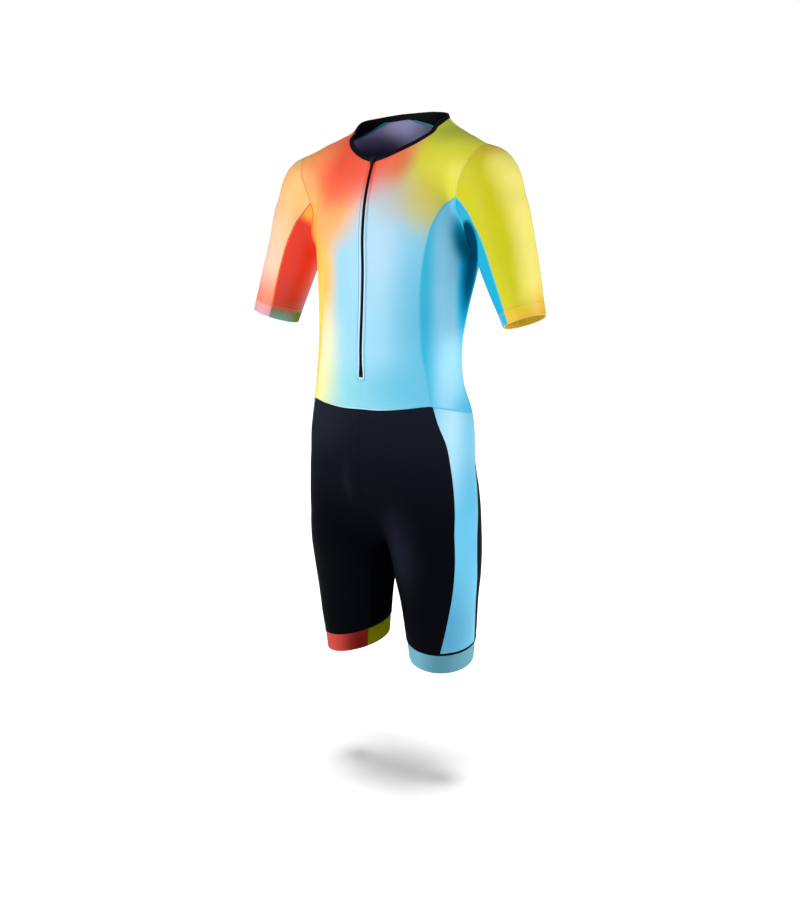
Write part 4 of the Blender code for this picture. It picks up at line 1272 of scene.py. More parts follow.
@dataclass
class ClothWorks:
    """What every sub-assembly needs: the seams, the groups and the ways to add a piece."""

    seam: dict[str, Array]
    effects: Effects
    body: str = "suit"
    stretch: float = 1.08
    groove: float = 0.00035
    groove_width: float = 0.0012
    thickness: float = 0.0011
    materials: dict[str, Material] = field(default_factory=dict)

    def named(self, word: str) -> Array:
        """A seam by name: a minus runs it from its other end, and an apostrophe mirrors it."""
        line = self.seam[word.strip("-'")][::-1 if word.startswith("-") else 1]
        return line * MIRROR if word.endswith("'") else line

    def surface(self, *edges: str) -> Surface:
        """A panel's surface between its bottom, top, left and right edges, as the tables give them."""
        return Surface.between_seams(*(
            [(self.named(word), int(count)) for word, count in (run.split() for run in edge.split(", "))]
            for edge in edges))

    def folds(self, points: Array) -> Array:
        """The height of all the creases at each point."""
        return sum((crease.lift(points) for crease in CREASES), np.zeros(points.shape[:-1]))

    def material(self, finish: ClothFinish | HardFinish) -> Material:
        """The finish's material, made the first time it is asked for."""
        if finish.name not in self.materials:
            self.materials[finish.name] = finish.material(self.effects)
        return self.materials[finish.name]

    def finish(self, piece: Piece, slot: str, nodes: Sequence[str],
               *finishes: ClothFinish | HardFinish, body: str | None = None) -> Piece:
        """Gives a piece its materials and its body, and hides the solids it stands for.

        Args:
            piece: the new object.
            slot: not used.
            nodes: the solids it stands for.
            *finishes: one for each material slot of the mesh.
            body: the body it rides on, or None for the suit.

        Returns:
            The same object.
        """
        for finish in finishes:
            piece.data.materials.append(self.material(finish))
        if nodes:
            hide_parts(*nodes)
        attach(piece, body or self.body)
        LOG.info("%s: %d faces", piece.name, len(piece.data.polygons))
        return piece

    def piece(self, name: str, parts: Sequence[Mesh], slot: str, nodes: Sequence[str],
              finish: ClothFinish | HardFinish, body: str | None = None) -> Piece:
        """One dressed object from one or more meshes, with what finish takes."""
        return self.finish(make_object(name, *gathered(parts)), slot, nodes, finish, body=body)

    def panel(self, name: str, surface: Surface, slot: str, nodes: Sequence[str],
              face: ClothFinish, reverse: ClothFinish, lift: float = 0.0, ring: bool = False,
              depth: float | None = None, stretch: float | None = None) -> Piece:
        """A sheet of cloth on its surface, with its grooves at the seams and its creases.

        Args:
            name: the piece's name.
            surface: where it lies.
            slot: the record's material slot.
            nodes: the solids it stands for.
            face, reverse: its finishes.
            lift: height of the face above the surface.
            ring: the last column joins the first.
            depth: depth of the reverse below the surface, or None for the usual thickness.
            stretch: not used.

        Returns:
            The object.
        """
        stretch = self.stretch if stretch is None else stretch
        groove = 0.0 if ring else self.groove * np.exp(-((surface.from_edges() / self.groove_width) ** 2))
        folds = self.folds(surface.points)
        depth = self.thickness if depth is None else depth
        piece = cloth_object(name, surface, lift - groove + folds, depth - folds, ring)
        self.finish(piece, slot, nodes, face, reverse)
        return piece


# Each panel's bottom, top, left and right edge: the seams in order, each with the pieces that the
# solid cuts it into. A minus runs a seam from its other end, and an apostrophe mirrors it.
UPPER_PANELS = {
    "front": ("waist_front 8", "shoulder 8", "zip 16, neck_front 6", "-princess 16, armhole_front 6"),
    "side": ("waist_side 6", "armhole_under 6", "-princess 16", "-back_seam 16"),
    "sleeve": ("cuff_outer 12", "armhole_front 6, armhole_back 6", "-sleeve_front 10", "-sleeve_back 10"),
    "underarm": ("cuff_inner 6", "-armhole_under 6", "-sleeve_back 10", "-sleeve_front 10"),
}
BACK_PANEL = ("waist_back 12, -waist_back' 12", "-shoulder 8, neck_back 4, -neck_back' 4, shoulder' 8",
              "-back_seam 16, -armhole_back 6", "-back_seam' 16, -armhole_back' 6")
LEG_PANELS = {
    "leg_front": ("thigh_front 8", "waist_front 8", "-inner_front 8, -centre_front 10", "-stripe_front 18"),
    "stripe": ("thigh_side 6", "waist_side 6", "-stripe_front 18", "-stripe_rear 18"),
    "leg_back": ("thigh_back 12", "waist_back 12", "-stripe_rear 18", "-inner_back 8, -centre_back 10"),
    "leg_inner": ("thigh_inner 5", "-crotch 5", "-inner_back 8", "-inner_front 8"),
}
SLOTS = {
    "front_left": "yellow_green_cloth", "front_right": "coral_cloth", "side_left": "aqua_cloth",
    "side_right": "orange_cloth", "sleeve_left": "yellow_green_cloth", "sleeve_right": "orange_cloth",
    "underarm_left": "aqua_cloth", "underarm_right": "red_cloth", "cuff_left": "yellow_green_cloth",
    "cuff_right": "orange_cloth", "stripe_left": "sky_cloth", "stripe_right": "sky_cloth",
    "gripper_outer_left": "grey_teal_elastic", "gripper_inner_left": "grey_teal_elastic",
    "gripper_outer_right": "red_elastic", "gripper_inner_right": "olive_elastic"}


@dataclass
class UpperBody:
    """Fronts, side panels, sleeves, underarms and the back."""

    works: ClothWorks
    dyes: "Dyes"
    cuff_rows: int = 9
    cuff_outer: int = 60
    cuff_inner: int = 30
    cuff_lift: float = 0.00015
    cuff_depth: float = 0.0017

    def cuff_surface(self) -> Surface:
        """The sleeve's turned-up hem, as a ring from the hem up to its stitching."""
        s = self.works.seam
        low, high = (chain_of(at_shares(s[name + "_outer"], np.linspace(0, 1, self.cuff_outer + 1)),
                              at_shares(s[name + "_inner"], np.linspace(0, 1, self.cuff_inner + 1)))[:-1]
                     for name in ("hem", "cuff"))
        return ring_surface(low, high, self.cuff_rows)

    def build(self) -> None:
        """Makes and dresses every piece."""
        surfaces = {name: self.works.surface(*edges) for name, edges in UPPER_PANELS.items()}
        cuff = self.cuff_surface()
        for side in Side:
            for name, surface in surfaces.items():
                node = f"{name}_{side.value}"
                self.works.panel("cloth_" + node, surface.on(side), SLOTS[node], [node],
                                 self.dyes.of(node), self.dyes.reverse)
            self._build_cuff(cuff, side)
        self.works.panel("cloth_back", self.works.surface(*BACK_PANEL), "sky_cloth", ["back"],
                         self.dyes.of("back"), self.dyes.reverse)

    def _build_cuff(self, surface: Surface, side: Side) -> None:
        """One sleeve's hem, its underarm part in its own dye.

        Args:
            surface: the left hem.
            side: which sleeve.
        """
        node = f"cuff_{side.value}"
        face = self.dyes.of(node)
        piece = self.works.panel("cloth_" + node, surface.on(side), SLOTS[node], [node], face, face,
                                 lift=self.cuff_lift, ring=True, depth=self.cuff_depth)
        piece.data.materials.append(self.works.material(self.dyes.of("under" + node)))
        rows, cols = surface.points.shape[:2]
        column = np.arange((rows - 1) * cols) % cols
        under = column >= self.cuff_outer
        if side is Side.RIGHT:
            under = (column < self.cuff_inner - 1) | (column == cols - 1)
        slots = np.zeros(len(piece.data.polygons), np.int32)
        piece.data.polygons.foreach_get("material_index", slots)
        slots[:len(column)][under] = 2
        piece.data.polygons.foreach_set("material_index", slots)


def ring_surface(low: Array, high: Array, rows: int) -> Surface:
    """A surface between two rings, or two open lines, of the figure.

    Formula: straight lines from one ring to the other, moved onto the figure.

    Args:
        low, high: the rings, with as many points each.
        rows: how many rows of points.

    Returns:
        The surface.
    """
    v = np.linspace(0, 1, rows)
    grid = (1 - v[:, None, None]) * low[None] + v[:, None, None] * high[None]
    grid[1:-1] = FIGURE.settle(grid[1:-1], 3)
    height = np.linalg.norm(high - low, axis=-1).mean()
    u, v = np.broadcast_arrays(run_of(high)[None, :], v[:, None] * height)
    return Surface(grid, FIGURE.normals(grid), u, v)


@dataclass
class Shorts:
    """Legs, stripes, inner legs and thigh bands."""

    works: ClothWorks
    dyes: "Dyes"
    band_rows: int = 13
    band_sink: float = 0.0011
    band_depth: float = 0.0024

    def band_surface(self, counts: dict[str, int]) -> Surface:
        """A thigh band's piece, from its hem up to the leg.

        Args:
            counts: the parts of the thigh it goes round, and how many pieces the solid cuts each into.

        Returns:
            The surface.
        """
        s = self.works.seam
        low, high = (chain_of(*(at_shares(s[ring + name], np.linspace(0, 1, 5 * count + 1))
                                for name, count in counts.items())) for ring in ("band_", "thigh_"))
        return ring_surface(low, high, self.band_rows)

    def build(self) -> None:
        """Makes and dresses every piece."""
        surfaces = {name: self.works.surface(*edges) for name, edges in LEG_PANELS.items()}
        outer = self.band_surface({"front": 8, "side": 6, "back": 12})
        inner = self.band_surface({"inner": 5})
        for side in Side:
            for name, surface in surfaces.items():
                node = f"{name}_{side.value}"
                reverse = self.dyes.reverse if name == "stripe" else self.dyes.dark_reverse
                self.works.panel("cloth_" + node, surface.on(side), SLOTS.get(node, "navy_cloth"), [node],
                                 self.dyes.of(node), reverse)
            for name, surface in (("gripper_outer", outer), ("gripper_inner", inner)):
                node = f"{name}_{side.value}"
                self.works.panel("cloth_" + node, surface.on(side), SLOTS[node], [node],
                                 self.dyes.of(node), self.dyes.band_reverse,
                                 lift=-self.band_sink, depth=self.band_depth)


# ---- neckline, zip and seams -------------------------------------------------------------------
@dataclass(frozen=True)
class Bar:
    """A rounded bar's profile: its half sizes, number of points, squareness and rise."""

    half_across: float
    half_out: float
    count: int = 16
    power: float = 2.6
    rise: float = 0.0

    @property
    def outline(self) -> Array:
        """The profile's points, anticlockwise.

        Formula: |across / half across| ^ power + |(out - rise) / half out| ^ power = 1.

        Returns:
            Across and out, one row a point.
        """
        turn = (np.arange(self.count) + 0.5) * 2 * np.pi / self.count
        c, s = np.cos(turn), np.sin(turn)
        return np.stack([self.half_across * np.sign(c) * np.abs(c) ** (2 / self.power),
                         self.rise + self.half_out * np.sign(s) * np.abs(s) ** (2 / self.power)], -1)


def path_frame(path: Array) -> tuple[Array, Array, Array]:
    """The direction along a path on the figure, across it and out of it.

    Args:
        path: points of the path.

    Returns:
        Unit vectors along, across (out cross along) and out, all at right angles.
    """
    along = unit(np.gradient(path, axis=0))
    out = FIGURE.normals(path)
    out = unit(out - along * (out * along).sum(-1, keepdims=True))
    return along, np.cross(out, along), out


@dataclass(frozen=True)
class Stitch:
    """A kind of stitch: its pitch, the length that shows, its thread's radius and its rise."""

    pitch: float
    length: float
    radius: float
    rise: float
    rings: int = 5
    corners: int = 6

    def row(self, path: Array, offset: float = 0.0) -> Mesh:
        """A row of these stitches beside a path.

        Formula: each stitch is a bar of five rings; its middle rises and its ends dip into the cloth.

        Args:
            path: the line sewn along.
            offset: how far to its side.

        Returns:
            The points, the faces and empty texture places of all the stitches.
        """
        count = max(int(run_of(path)[-1] / self.pitch), 1)
        rings = np.linspace(-1, 1, self.rings)
        share = (np.arange(count)[:, None] + 0.5 + rings[None] * self.length / self.pitch / 2) / count
        centre, _, across, out = (at_shares(path, share.ravel(), v).reshape(count, self.rings, 3)
                                  for v in (path, *path_frame(path)))
        height = self.rise * (1 - np.abs(rings) ** 2.5) - 0.6 * self.radius
        centre = centre + across * offset + out * height[None, :, None]
        turn = (np.arange(self.corners) * 2 * np.pi / self.corners)[None, None, :, None]
        points = centre[:, :, None] + self.radius * (
            across[:, :, None] * np.cos(turn) + out[:, :, None] * np.sin(turn))
        index = np.arange(points[..., 0].size).reshape(count, self.rings, self.corners)
        index = np.concatenate([index, index[:, :, :1]], 2)
        faces = [np.stack([index[:, :-1, :-1], index[:, :-1, 1:], index[:, 1:, 1:], index[:, 1:, :-1]], -1)]
        for ring, order in ((0, (3, 2, 1, 0)), (-1, (0, 1, 2, 3))):
            for quad in ((0, 1, 2, 3), (3, 4, 5, 0)):
                faces.append(index[:, ring][:, [quad[k] for k in order]])
        points = points.reshape(-1, 3)
        return points, np.concatenate([part.reshape(-1, 4) for part in faces]), np.zeros((len(points), 2))


@dataclass
class Neckline:
    """The binding round the neck, and the nape facing with its edge tape."""

    works: ClothWorks
    dyes: "Dyes"
    count: int = 240
    height: float = 0.0075
    overlap: float = 0.0002
    outer: float = 0.0007
    inner: float = 0.0021
    folded_width: float = 0.01
    stretch: float = 1.04
    facing_count: int = 121
    facing_rows: int = 14
    facing_above: float = 0.004
    facing_thick: float = 0.0007
    facing_narrow: float = 0.0022
    facing_deep: float = 0.038
    # where the narrow part starts and ends, from -1 at the left shoulder to 1 at the right one
    narrow_from: float = 0.15
    narrow_to: float = 0.45
    left_depth: float = 0.87
    gap: float = 0.0002
    tape: Bar = Bar(0.0019, 0.0004, 10)
    # the points between which no tape is sewn, and how many points each of its ends takes to narrow
    tape_break: tuple[int, int] = (66, 88)
    tape_taper: float = 4.0

    def whole(self, half: Array, count: int) -> Array:
        """A line of the left half carried on over its mirror image, in equal steps."""
        return at_shares(chain_of(half, half[::-1] * MIRROR), np.linspace(0, 1, count))

    def binding_top(self, edge: Array) -> Array:
        """The binding's free edge.

        Args:
            edge: the neckline.

        Returns:
            As many points as the neckline's.
        """
        top = FIGURE.settle(edge + self.height * path_frame(edge)[1])
        top[0, 0], top[-1, 0] = edge[0, 0], edge[-1, 0]
        return top

    def build(self) -> None:
        """Makes and dresses the binding, the facing and its tape."""
        s = self.works.seam
        edge = self.whole(chain_of(s["neck_front"], s["neck_back"]), self.count)
        top = self.binding_top(edge)
        middle = FIGURE.settle(0.5 * (edge + top))
        up = unit(top - edge)
        out = unit(np.cross(path_frame(middle)[0], up))
        half = 0.5 * float(np.linalg.norm(top - edge, axis=-1).mean()) + self.overlap
        bar = Bar(half, 0.5 * (self.outer + self.inner), 20, 3.2, 0.5 * (self.outer - self.inner))
        piece = self.works.piece("binding", [swept(middle, up, out, bar.outline)], "black_trim",
                                 ["neck_binding"], self.dyes.binding)
        self._build_facing()

    def _build_facing(self) -> None:
        """The nape facing inside the back: deep by the shoulders, narrow a little right of the middle."""
        top = self.whole(self.works.seam["neck_back"], self.facing_count)
        across = path_frame(top)[1]
        share = np.linspace(-1, 1, self.facing_count)
        drop = self.facing_narrow + self.facing_deep * np.where(
            share > self.narrow_to, ((share - self.narrow_to) / (1 - self.narrow_to)) ** 2,
            self.left_depth * np.clip(self.narrow_from - share, 0, 2))
        rows = np.linspace(1, 0, self.facing_rows)
        below = (drop + self.facing_above)[None, :, None] * rows[:, None, None] - self.facing_above
        grid = FIGURE.settle(top[None] - across[None] * below, 6)
        u, v = np.broadcast_arrays(run_of(top)[None], (1 - rows)[:, None] * drop[None])
        surface = Surface(grid, FIGURE.normals(grid), u, v)
        under = self.works.thickness + self.gap
        self.works.panel("nape_facing", surface, "black_trim", ["neck_facing"], self.dyes.facing,
                         self.dyes.facing, lift=-under, depth=under + self.facing_thick)
        _, across, out = path_frame(grid[0])
        lower = grid[0] - out * (under + self.facing_thick + self.gap)
        parts = []
        for part, end in ((slice(self.tape_break[0] + 1), self.tape_break[0]),
                          (slice(self.tape_break[1], None), self.tape_break[1])):
            narrow = np.clip(np.abs(np.arange(self.facing_count)[part] - end) / self.tape_taper, 0.15, 1.0)
            profile = self.tape.outline[None] * narrow[:, None, None]
            parts.append(swept(lower[part], across[part], out[part], profile))
        self.works.piece("nape_edge_tape", parts, "black_trim", [], self.dyes.edge_tape)


@dataclass
class Zip:
    """The coil zip: tapes, teeth, rolled edges, slider, pull tab and the stitching beside it."""

    works: ClothWorks
    dyes: "Dyes"
    top: float = -0.064
    end: float = -0.4085
    half: float = 0.0028
    flare: float = 0.35
    flare_length: float = 0.014
    tooth: float = 0.0013
    coil_height: float = 0.00055
    coil_rise: float = 0.0002
    coil_depth: float = 0.0014
    coil_rows: int = 90
    coil_columns: int = 13
    tape_in: float = 0.0012
    tape_out: float = 0.0125
    tape_top: float = -0.0685
    tape_face: float = 0.0018
    tape_back: float = 0.0024
    edge_at: float = 0.0041
    edge: Bar = Bar(0.0014, 0.00068, 12, 2.2, 0.00028)
    edge_top: float = -0.069
    edge_below: float = 0.001
    stitch_at: float = 0.0075
    stitch_top: float = -0.0695
    box_drop: float = 0.0058
    side_stitch: Stitch = Stitch(0.0027, 0.0024, 0.0004, 0.00032)
    box_stitch: Stitch = Stitch(0.0027, 0.0024, 0.00055, 0.00036)
    tack_stitch: Stitch = Stitch(0.0099, 0.0094, 0.0003, 0.0003)
    tack_count: int = 8
    tack_step: float = 0.0005
    tack_drop: float = 0.0018
    tack_half: float = 0.0045
    stop_half: float = 0.0039
    stop: Bar = Bar(0.0017, 0.0011, 16, 3.0, 0.0003)
    stop_above: float = 0.0004
    slider_height: float = -0.0615
    slider_half: float = 0.0038
    slider_length: float = 0.0092
    # the right half of the slider's outline from its foot, as shares of its half width and half length
    slider_outline: tuple[tuple[float, float], ...] = (
        (0.6, -1.0), (0.78, -0.8), (0.8, 0.0), (1.0, 0.35), (1.0, 0.75), (0.72, 1.0))
    # the slider's layers: share of the outline, and height over the front
    slider_layers: tuple[tuple[float, float], ...] = (
        (0.92, 0.0006), (1.0, 0.0009), (1.0, 0.0015), (0.965, 0.0019), (0.88, 0.0022), (0.76, 0.00232))
    rail_at: float = 0.74
    rail_long: float = 0.7
    rail_out: float = 0.0021
    rail: Bar = Bar(0.00035, 0.00035, 10, 2.2)
    pin_up: float = 0.0006
    pin_out: float = 0.0037
    arch_radius: float = 0.0018
    arch: Bar = Bar(0.00085, 0.00047, 12)
    arch_count: int = 32
    tab_length: float = 0.014
    tab_half: float = 0.0023
    tab_thick: float = 0.0014
    window_half: float = 0.00115
    window_length: float = 0.0026
    grip_half: float = 0.0014
    grip: Bar = Bar(0.00038, 0.00022, 8, 2.0)
    grip_count: int = 7

    def strip(self, across: Array, height: Array) -> Surface:
        """The front's surface over a grid of across and height.

        Args:
            across, height: places across, and heights from the bottom up.

        Returns:
            The surface.
        """
        grid = FIGURE.ahead(*np.meshgrid(across, height), steps=40)
        u, v = np.broadcast_arrays(across[None, :], (height - height[0])[:, None])
        return Surface(grid, FIGURE.normals(grid), u, v)

    def upright(self, across: float, low: float, high: float) -> Surface:
        """A line of 150 points up the front, as a surface of one column."""
        return self.strip(np.array([across]), np.linspace(low, high, 150))

    def level(self, half: float, height: float, count: int) -> Array:
        """A line of points across the front."""
        return self.strip(np.linspace(-half, half, count), np.array([height])).points[0]

    def widened(self, surface: Surface) -> Surface:
        """The same strip, wider towards the end of the zip.

        Formula: across times 1 + flare times exp(-(height above the end / flare length) squared).

        Args:
            surface: a strip along the zip.

        Returns:
            The strip, changed in place.
        """
        above = (surface.points[..., 2] - self.end) / self.flare_length
        surface.points[..., 0] *= 1.0 + self.flare * np.exp(-(above ** 2))
        return surface

    def build(self) -> None:
        """Makes and dresses every piece of the zip."""
        self._build_teeth()
        for side in Side:
            self._build_tape(side)
        for side in Side:
            self._build_edge(side)
        self._build_stitching()
        self._build_stop()
        self._build_slider()

    def _build_teeth(self) -> None:
        """Two rows of coil, half a tooth apart.

        Formula: height = coil height times |sin(pi (along / tooth + half for one side))| to the 0.8,
        times the round of each row across.
        """
        length = self.top - self.end
        coarse = self.widened(self.strip(np.linspace(-self.half, self.half, self.coil_columns),
                                         np.linspace(self.end, self.top, self.coil_rows)))
        rows, columns = np.linspace(0, 1, self.coil_rows), np.linspace(0, 1, self.coil_columns)
        fine = np.linspace(0, 1, int(length / self.tooth * 5))
        points, normal = (between(grid, rows, columns, fine, columns)
                          for grid in (coarse.points, coarse.normal))
        u, v = np.broadcast_arrays(coarse.u[:1], (fine * length)[:, None])
        half_row = self.half / 2
        crown = np.sqrt(np.clip(1 - ((np.abs(u) - half_row) / half_row) ** 2, 0, 1))
        teeth = np.abs(np.sin(np.pi * (v / self.tooth + 0.5 * (u > 0)))) ** 0.8
        piece = cloth_object("zip_coil", Surface(points, unit(normal), u, v),
                             self.coil_rise + self.coil_height * crown * teeth, self.coil_depth)
        self.works.finish(piece, "zip_teeth", ["zip_chain"], self.dyes.coil, self.dyes.coil)

    def _build_tape(self, side: Side) -> None:
        """One tape behind the front.

        Args:
            side: which tape.
        """
        across = np.sort(side.mirror[0] * np.linspace(self.tape_in, self.tape_out, 5))
        surface = self.strip(across, np.linspace(self.end, self.tape_top, 110))
        self.works.panel(f"zip_tape_cloth_{side.value}", surface, "black_trim", [f"zip_tape_{side.value}"],
                         self.dyes.tape, self.dyes.tape, lift=-self.tape_face, depth=self.tape_back,
                         stretch=1.0)

    def _build_edge(self, side: Side) -> None:
        """One front's rolled edge along the zip.

        Args:
            side: which front.
        """
        line = self.widened(self.upright(side.mirror[0] * self.edge_at, self.end - self.edge_below,
                                         self.edge_top)).points[:, 0]
        _, across, out = path_frame(line)
        self.works.piece(f"zip_edge_{side.value}", [swept(line, across, out, self.edge.outline)],
                         SLOTS[f"front_{side.value}"], [], self.dyes.zip_edge)

    def _build_stitching(self) -> None:
        """A row of stitches each side of the zip, a box under it and its bar tack."""
        low = self.end - self.box_drop
        parts = [self.side_stitch.row(self.upright(across, low, self.stitch_top).points[:, 0])
                 for across in (self.stitch_at, -self.stitch_at)]
        parts.append(self.box_stitch.row(self.level(self.stitch_at, low, 20)))
        self.works.piece("zip_stitching", parts, "sky_cloth", [], self.dyes.zip_thread)
        levels = self.end - self.tack_drop - self.tack_step * np.arange(self.tack_count)
        tack = [self.tack_stitch.row(self.level(self.tack_half, height, 12)) for height in levels]
        self.works.piece("zip_bar_tack", tack, "sky_cloth", [], self.dyes.aqua_thread)

    def _build_stop(self) -> None:
        """The bottom stop, a bar across the end of the coil."""
        line = self.level(self.stop_half, self.end + self.stop_above, 15)
        _, across, out = path_frame(line)
        bulge = np.sqrt(np.clip(1 - np.linspace(-1, 1, 15)[:, None, None] ** 6, 0.05, 1))
        self.works.piece("zip_bottom_stop", [swept(line, across, out, self.stop.outline[None] * bulge)],
                         "zip_teeth", [], self.dyes.stop)

    def _slider_frame(self) -> tuple[Array, Array, Array]:
        """Where the slider sits, with the directions up along the zip and out of it."""
        line = FIGURE.ahead(0.0, self.slider_height + np.array([-0.004, 0.0, 0.004]))
        up = unit(line[2] - line[0])
        return line[1], up, np.cross(ACROSS, up)

    def _build_slider(self) -> None:
        """The slider's body with its arch and rails, and the pull tab that turns in the arch."""
        origin, up, out = self._slider_frame()
        half, long = self.slider_half, self.slider_length / 2
        right, layers = np.array(self.slider_outline), np.array(self.slider_layers)
        outline = softened(np.concatenate([right, right[::-1] * [-1, 1]]) * [half, long])
        flat = [np.broadcast_to(way, (len(layers), 3)) for way in (ACROSS, up)]
        parts = [swept(origin + out * layers[:, 1:], *flat, outline[None] * layers[:, :1, None])]
        turn = np.linspace(0, 2 * np.pi, self.arch_count, endpoint=False)[:, None]
        pin = origin + up * self.pin_up + out * self.pin_out
        radial = np.cos(turn) * up + np.sin(turn) * out
        parts.append(swept(pin + self.arch_radius * radial, np.broadcast_to(ACROSS, radial.shape), radial,
                           self.arch.outline, closed=True))
        for sign in (1.0, -1.0):
            reach = np.linspace(-self.rail_long, self.rail_long, 9)[:, None] * long
            rail = origin + ACROSS * sign * self.rail_at * half + out * self.rail_out + up * reach
            sides = (np.broadcast_to(way, rail.shape) for way in (np.cross(out, up), out))
            parts.append(swept(rail, *sides, self.rail.outline))
        self.works.piece("zip_slider_body", parts, "dark_metal", ["zip_slider"], self.dyes.slider)
        self._build_tab(pin, up, out)

    def _build_tab(self, pin: Array, up: Array, out: Array) -> None:
        """The pull tab: a plate with a window for the arch, and grip ribs on both its faces.

        Args:
            pin: the middle of the arch.
            up, out: the directions up along the zip and out of it.
        """
        half, thick, long = self.tab_half, self.tab_thick / 2, self.tab_length
        w, low, high = self.window_half, -self.window_length, -thick
        right = np.array([(0.78 * half, -long), (0.92 * half, -0.75 * long), (half, low), (half, 0.0),
                          (0.7 * half, thick)])
        window = np.array([(0.4 * w, low), (w, low), (w, 0.3 * high + 0.7 * low), (w, 0.7 * high + 0.3 * low),
                           (w, high)])
        outer, inner = (softened(np.roll(np.concatenate([side[::-1], side * [-1, 1]]), 1, 0), 3)
                        for side in (right, window))
        plane = np.stack([ACROSS, up])
        middle, reach = pin + 0.5 * (outer + inner) @ plane, (outer - inner) @ plane
        shape = Bar(1.0, thick, 18, 6.0).outline
        profile = np.stack(np.broadcast_arrays(
            0.5 * np.linalg.norm(reach, axis=1)[:, None] * shape[None, :, 0], shape[None, :, 1]), -1)
        parts = [swept(middle, unit(reach), np.broadcast_to(out, middle.shape), profile, closed=True)]
        reach = np.linspace(-self.grip_half, self.grip_half, 7)[:, None] * ACROSS
        for share in np.linspace(0.4, 0.9, self.grip_count):
            for face in (thick, -thick):
                path = pin - up * share * long + out * face + reach
                sides = (np.broadcast_to(way, path.shape) for way in (np.cross(out, ACROSS), out))
                parts.append(swept(path, *sides, self.grip.outline))
        self.works.piece("zip_pull_tab", parts, "dark_metal", ["pull_tab"], self.dyes.tab, body="pull_tab")


@dataclass(frozen=True)
class Run:
    """A seam line that shows: the seams that it follows, its finish and its half width."""

    name: str
    seams: tuple[str, ...]
    finish: str
    half: float = 0.0013


RUNS = (
    Run("princess", ("princess",), "princess"),
    Run("back", ("back_seam",), "back"),
    Run("armhole", ("armhole_front", "armhole_back"), "armhole"),
    Run("under_armhole", ("armhole_under",), "under"),
    Run("shoulder", ("shoulder",), "front"),
    Run("sleeve", ("sleeve_front", "sleeve_back"), "under"),
    Run("waist", ("waist_front", "waist_back"), "dark", 0.0014),
    Run("waist_side", ("waist_side",), "stripe"),
    Run("stripe", ("stripe_front", "stripe_rear"), "dark", 0.0011),
    Run("inner", ("inner_front", "inner_back"), "dark"),
)


@dataclass
class SeamLines:
    """Flat stitched seams between the panels, and the rows of stitches at the hems."""

    works: ClothWorks
    dyes: "Dyes"
    rise: float = 0.00022
    sink: float = 0.00055
    step: float = 0.0025
    middle_half: float = 0.0013
    fold_above: float = 0.0019
    fold_half: float = 0.0009
    band_above: float = 0.0006
    band_half: float = 0.0024
    hem_stitch: Stitch = Stitch(0.0026, 0.0021, 0.00022, 0.00032)
    hem_rows: tuple[float, float] = (0.0004, -0.0028)

    def lay(self, name: str, lines: Sequence[Array], half: float, slot: str, finish: ClothFinish) -> None:
        """Makes and dresses flat, rounded strips along lines on the figure.

        Args:
            name: the piece's name.
            lines: the lines they follow.
            half: half their width.
            slot: the record's material slot.
            finish: their finish.
        """
        bar = Bar(half, 0.5 * (self.rise + self.sink), 12, 3.0, 0.5 * (self.rise - self.sink))
        parts = []
        for line in lines:
            line = at_shares(line, np.linspace(0, 1, int(run_of(line)[-1] / self.step) + 2))
            _, across, out = path_frame(line)
            parts.append(swept(line + out * self.works.folds(line)[:, None], across, out, bar.outline))
        self.works.piece(name, parts, slot, [], finish)

    def build(self) -> None:
        """Makes and dresses every seam line."""
        s = self.works.seam
        for run in RUNS:
            for side in Side:
                slot = "navy_cloth" if run.finish == "dark" else "sky_cloth"
                self.lay(f"seam_{run.name}_{side.value}", [s[name] * side.mirror for name in run.seams],
                         run.half, slot, self.dyes.seam(run.finish, side))
        for name in ("centre_front", "centre_back", "crotch"):
            self.lay(f"seam_{name}", [s[name]], self.middle_half, "navy_cloth", self.dyes.dark_seam)
        # the fold above the waist at the front, paler with the zip edges' painted highlight
        fold = FIGURE.settle(s["waist_front"] + np.array([0.0, 0.0, self.fold_above]))
        for side in Side:
            self.lay(f"waist_fold_{side.value}", [fold * side.mirror], self.fold_half, "sky_cloth",
                     self.dyes.zip_edge)
        thigh = chain_of(*(s["thigh_" + name] for name in ("front", "side", "back", "inner")))
        cuff = chain_of(s["cuff_outer"], s["cuff_inner"])
        for side in Side:
            self.lay(f"band_seam_{side.value}", [thigh * side.mirror + np.array([0.0, 0.0, self.band_above])],
                     self.band_half, "navy_cloth", self.dyes.dark_seam)
            rows = [self.hem_stitch.row(cuff * side.mirror, offset) for offset in self.hem_rows]
            self.works.piece(f"hem_stitching_{side.value}", rows, "sky_cloth", [], self.dyes.hem_thread(side))


# ---- dyes, painted light and painted shade -----------------------------------------------------
def dye(red: int, green: int, blue: int) -> Colour:
    """A display colour from 0 to 255 as linear light: ((c + 0.055) / 1.055) to the 2.4."""
    parts = (k / 255 for k in (red, green, blue))
    return tuple(k / 12.92 if k <= 0.04045 else ((k + 0.055) / 1.055) ** 2.4 for k in parts)


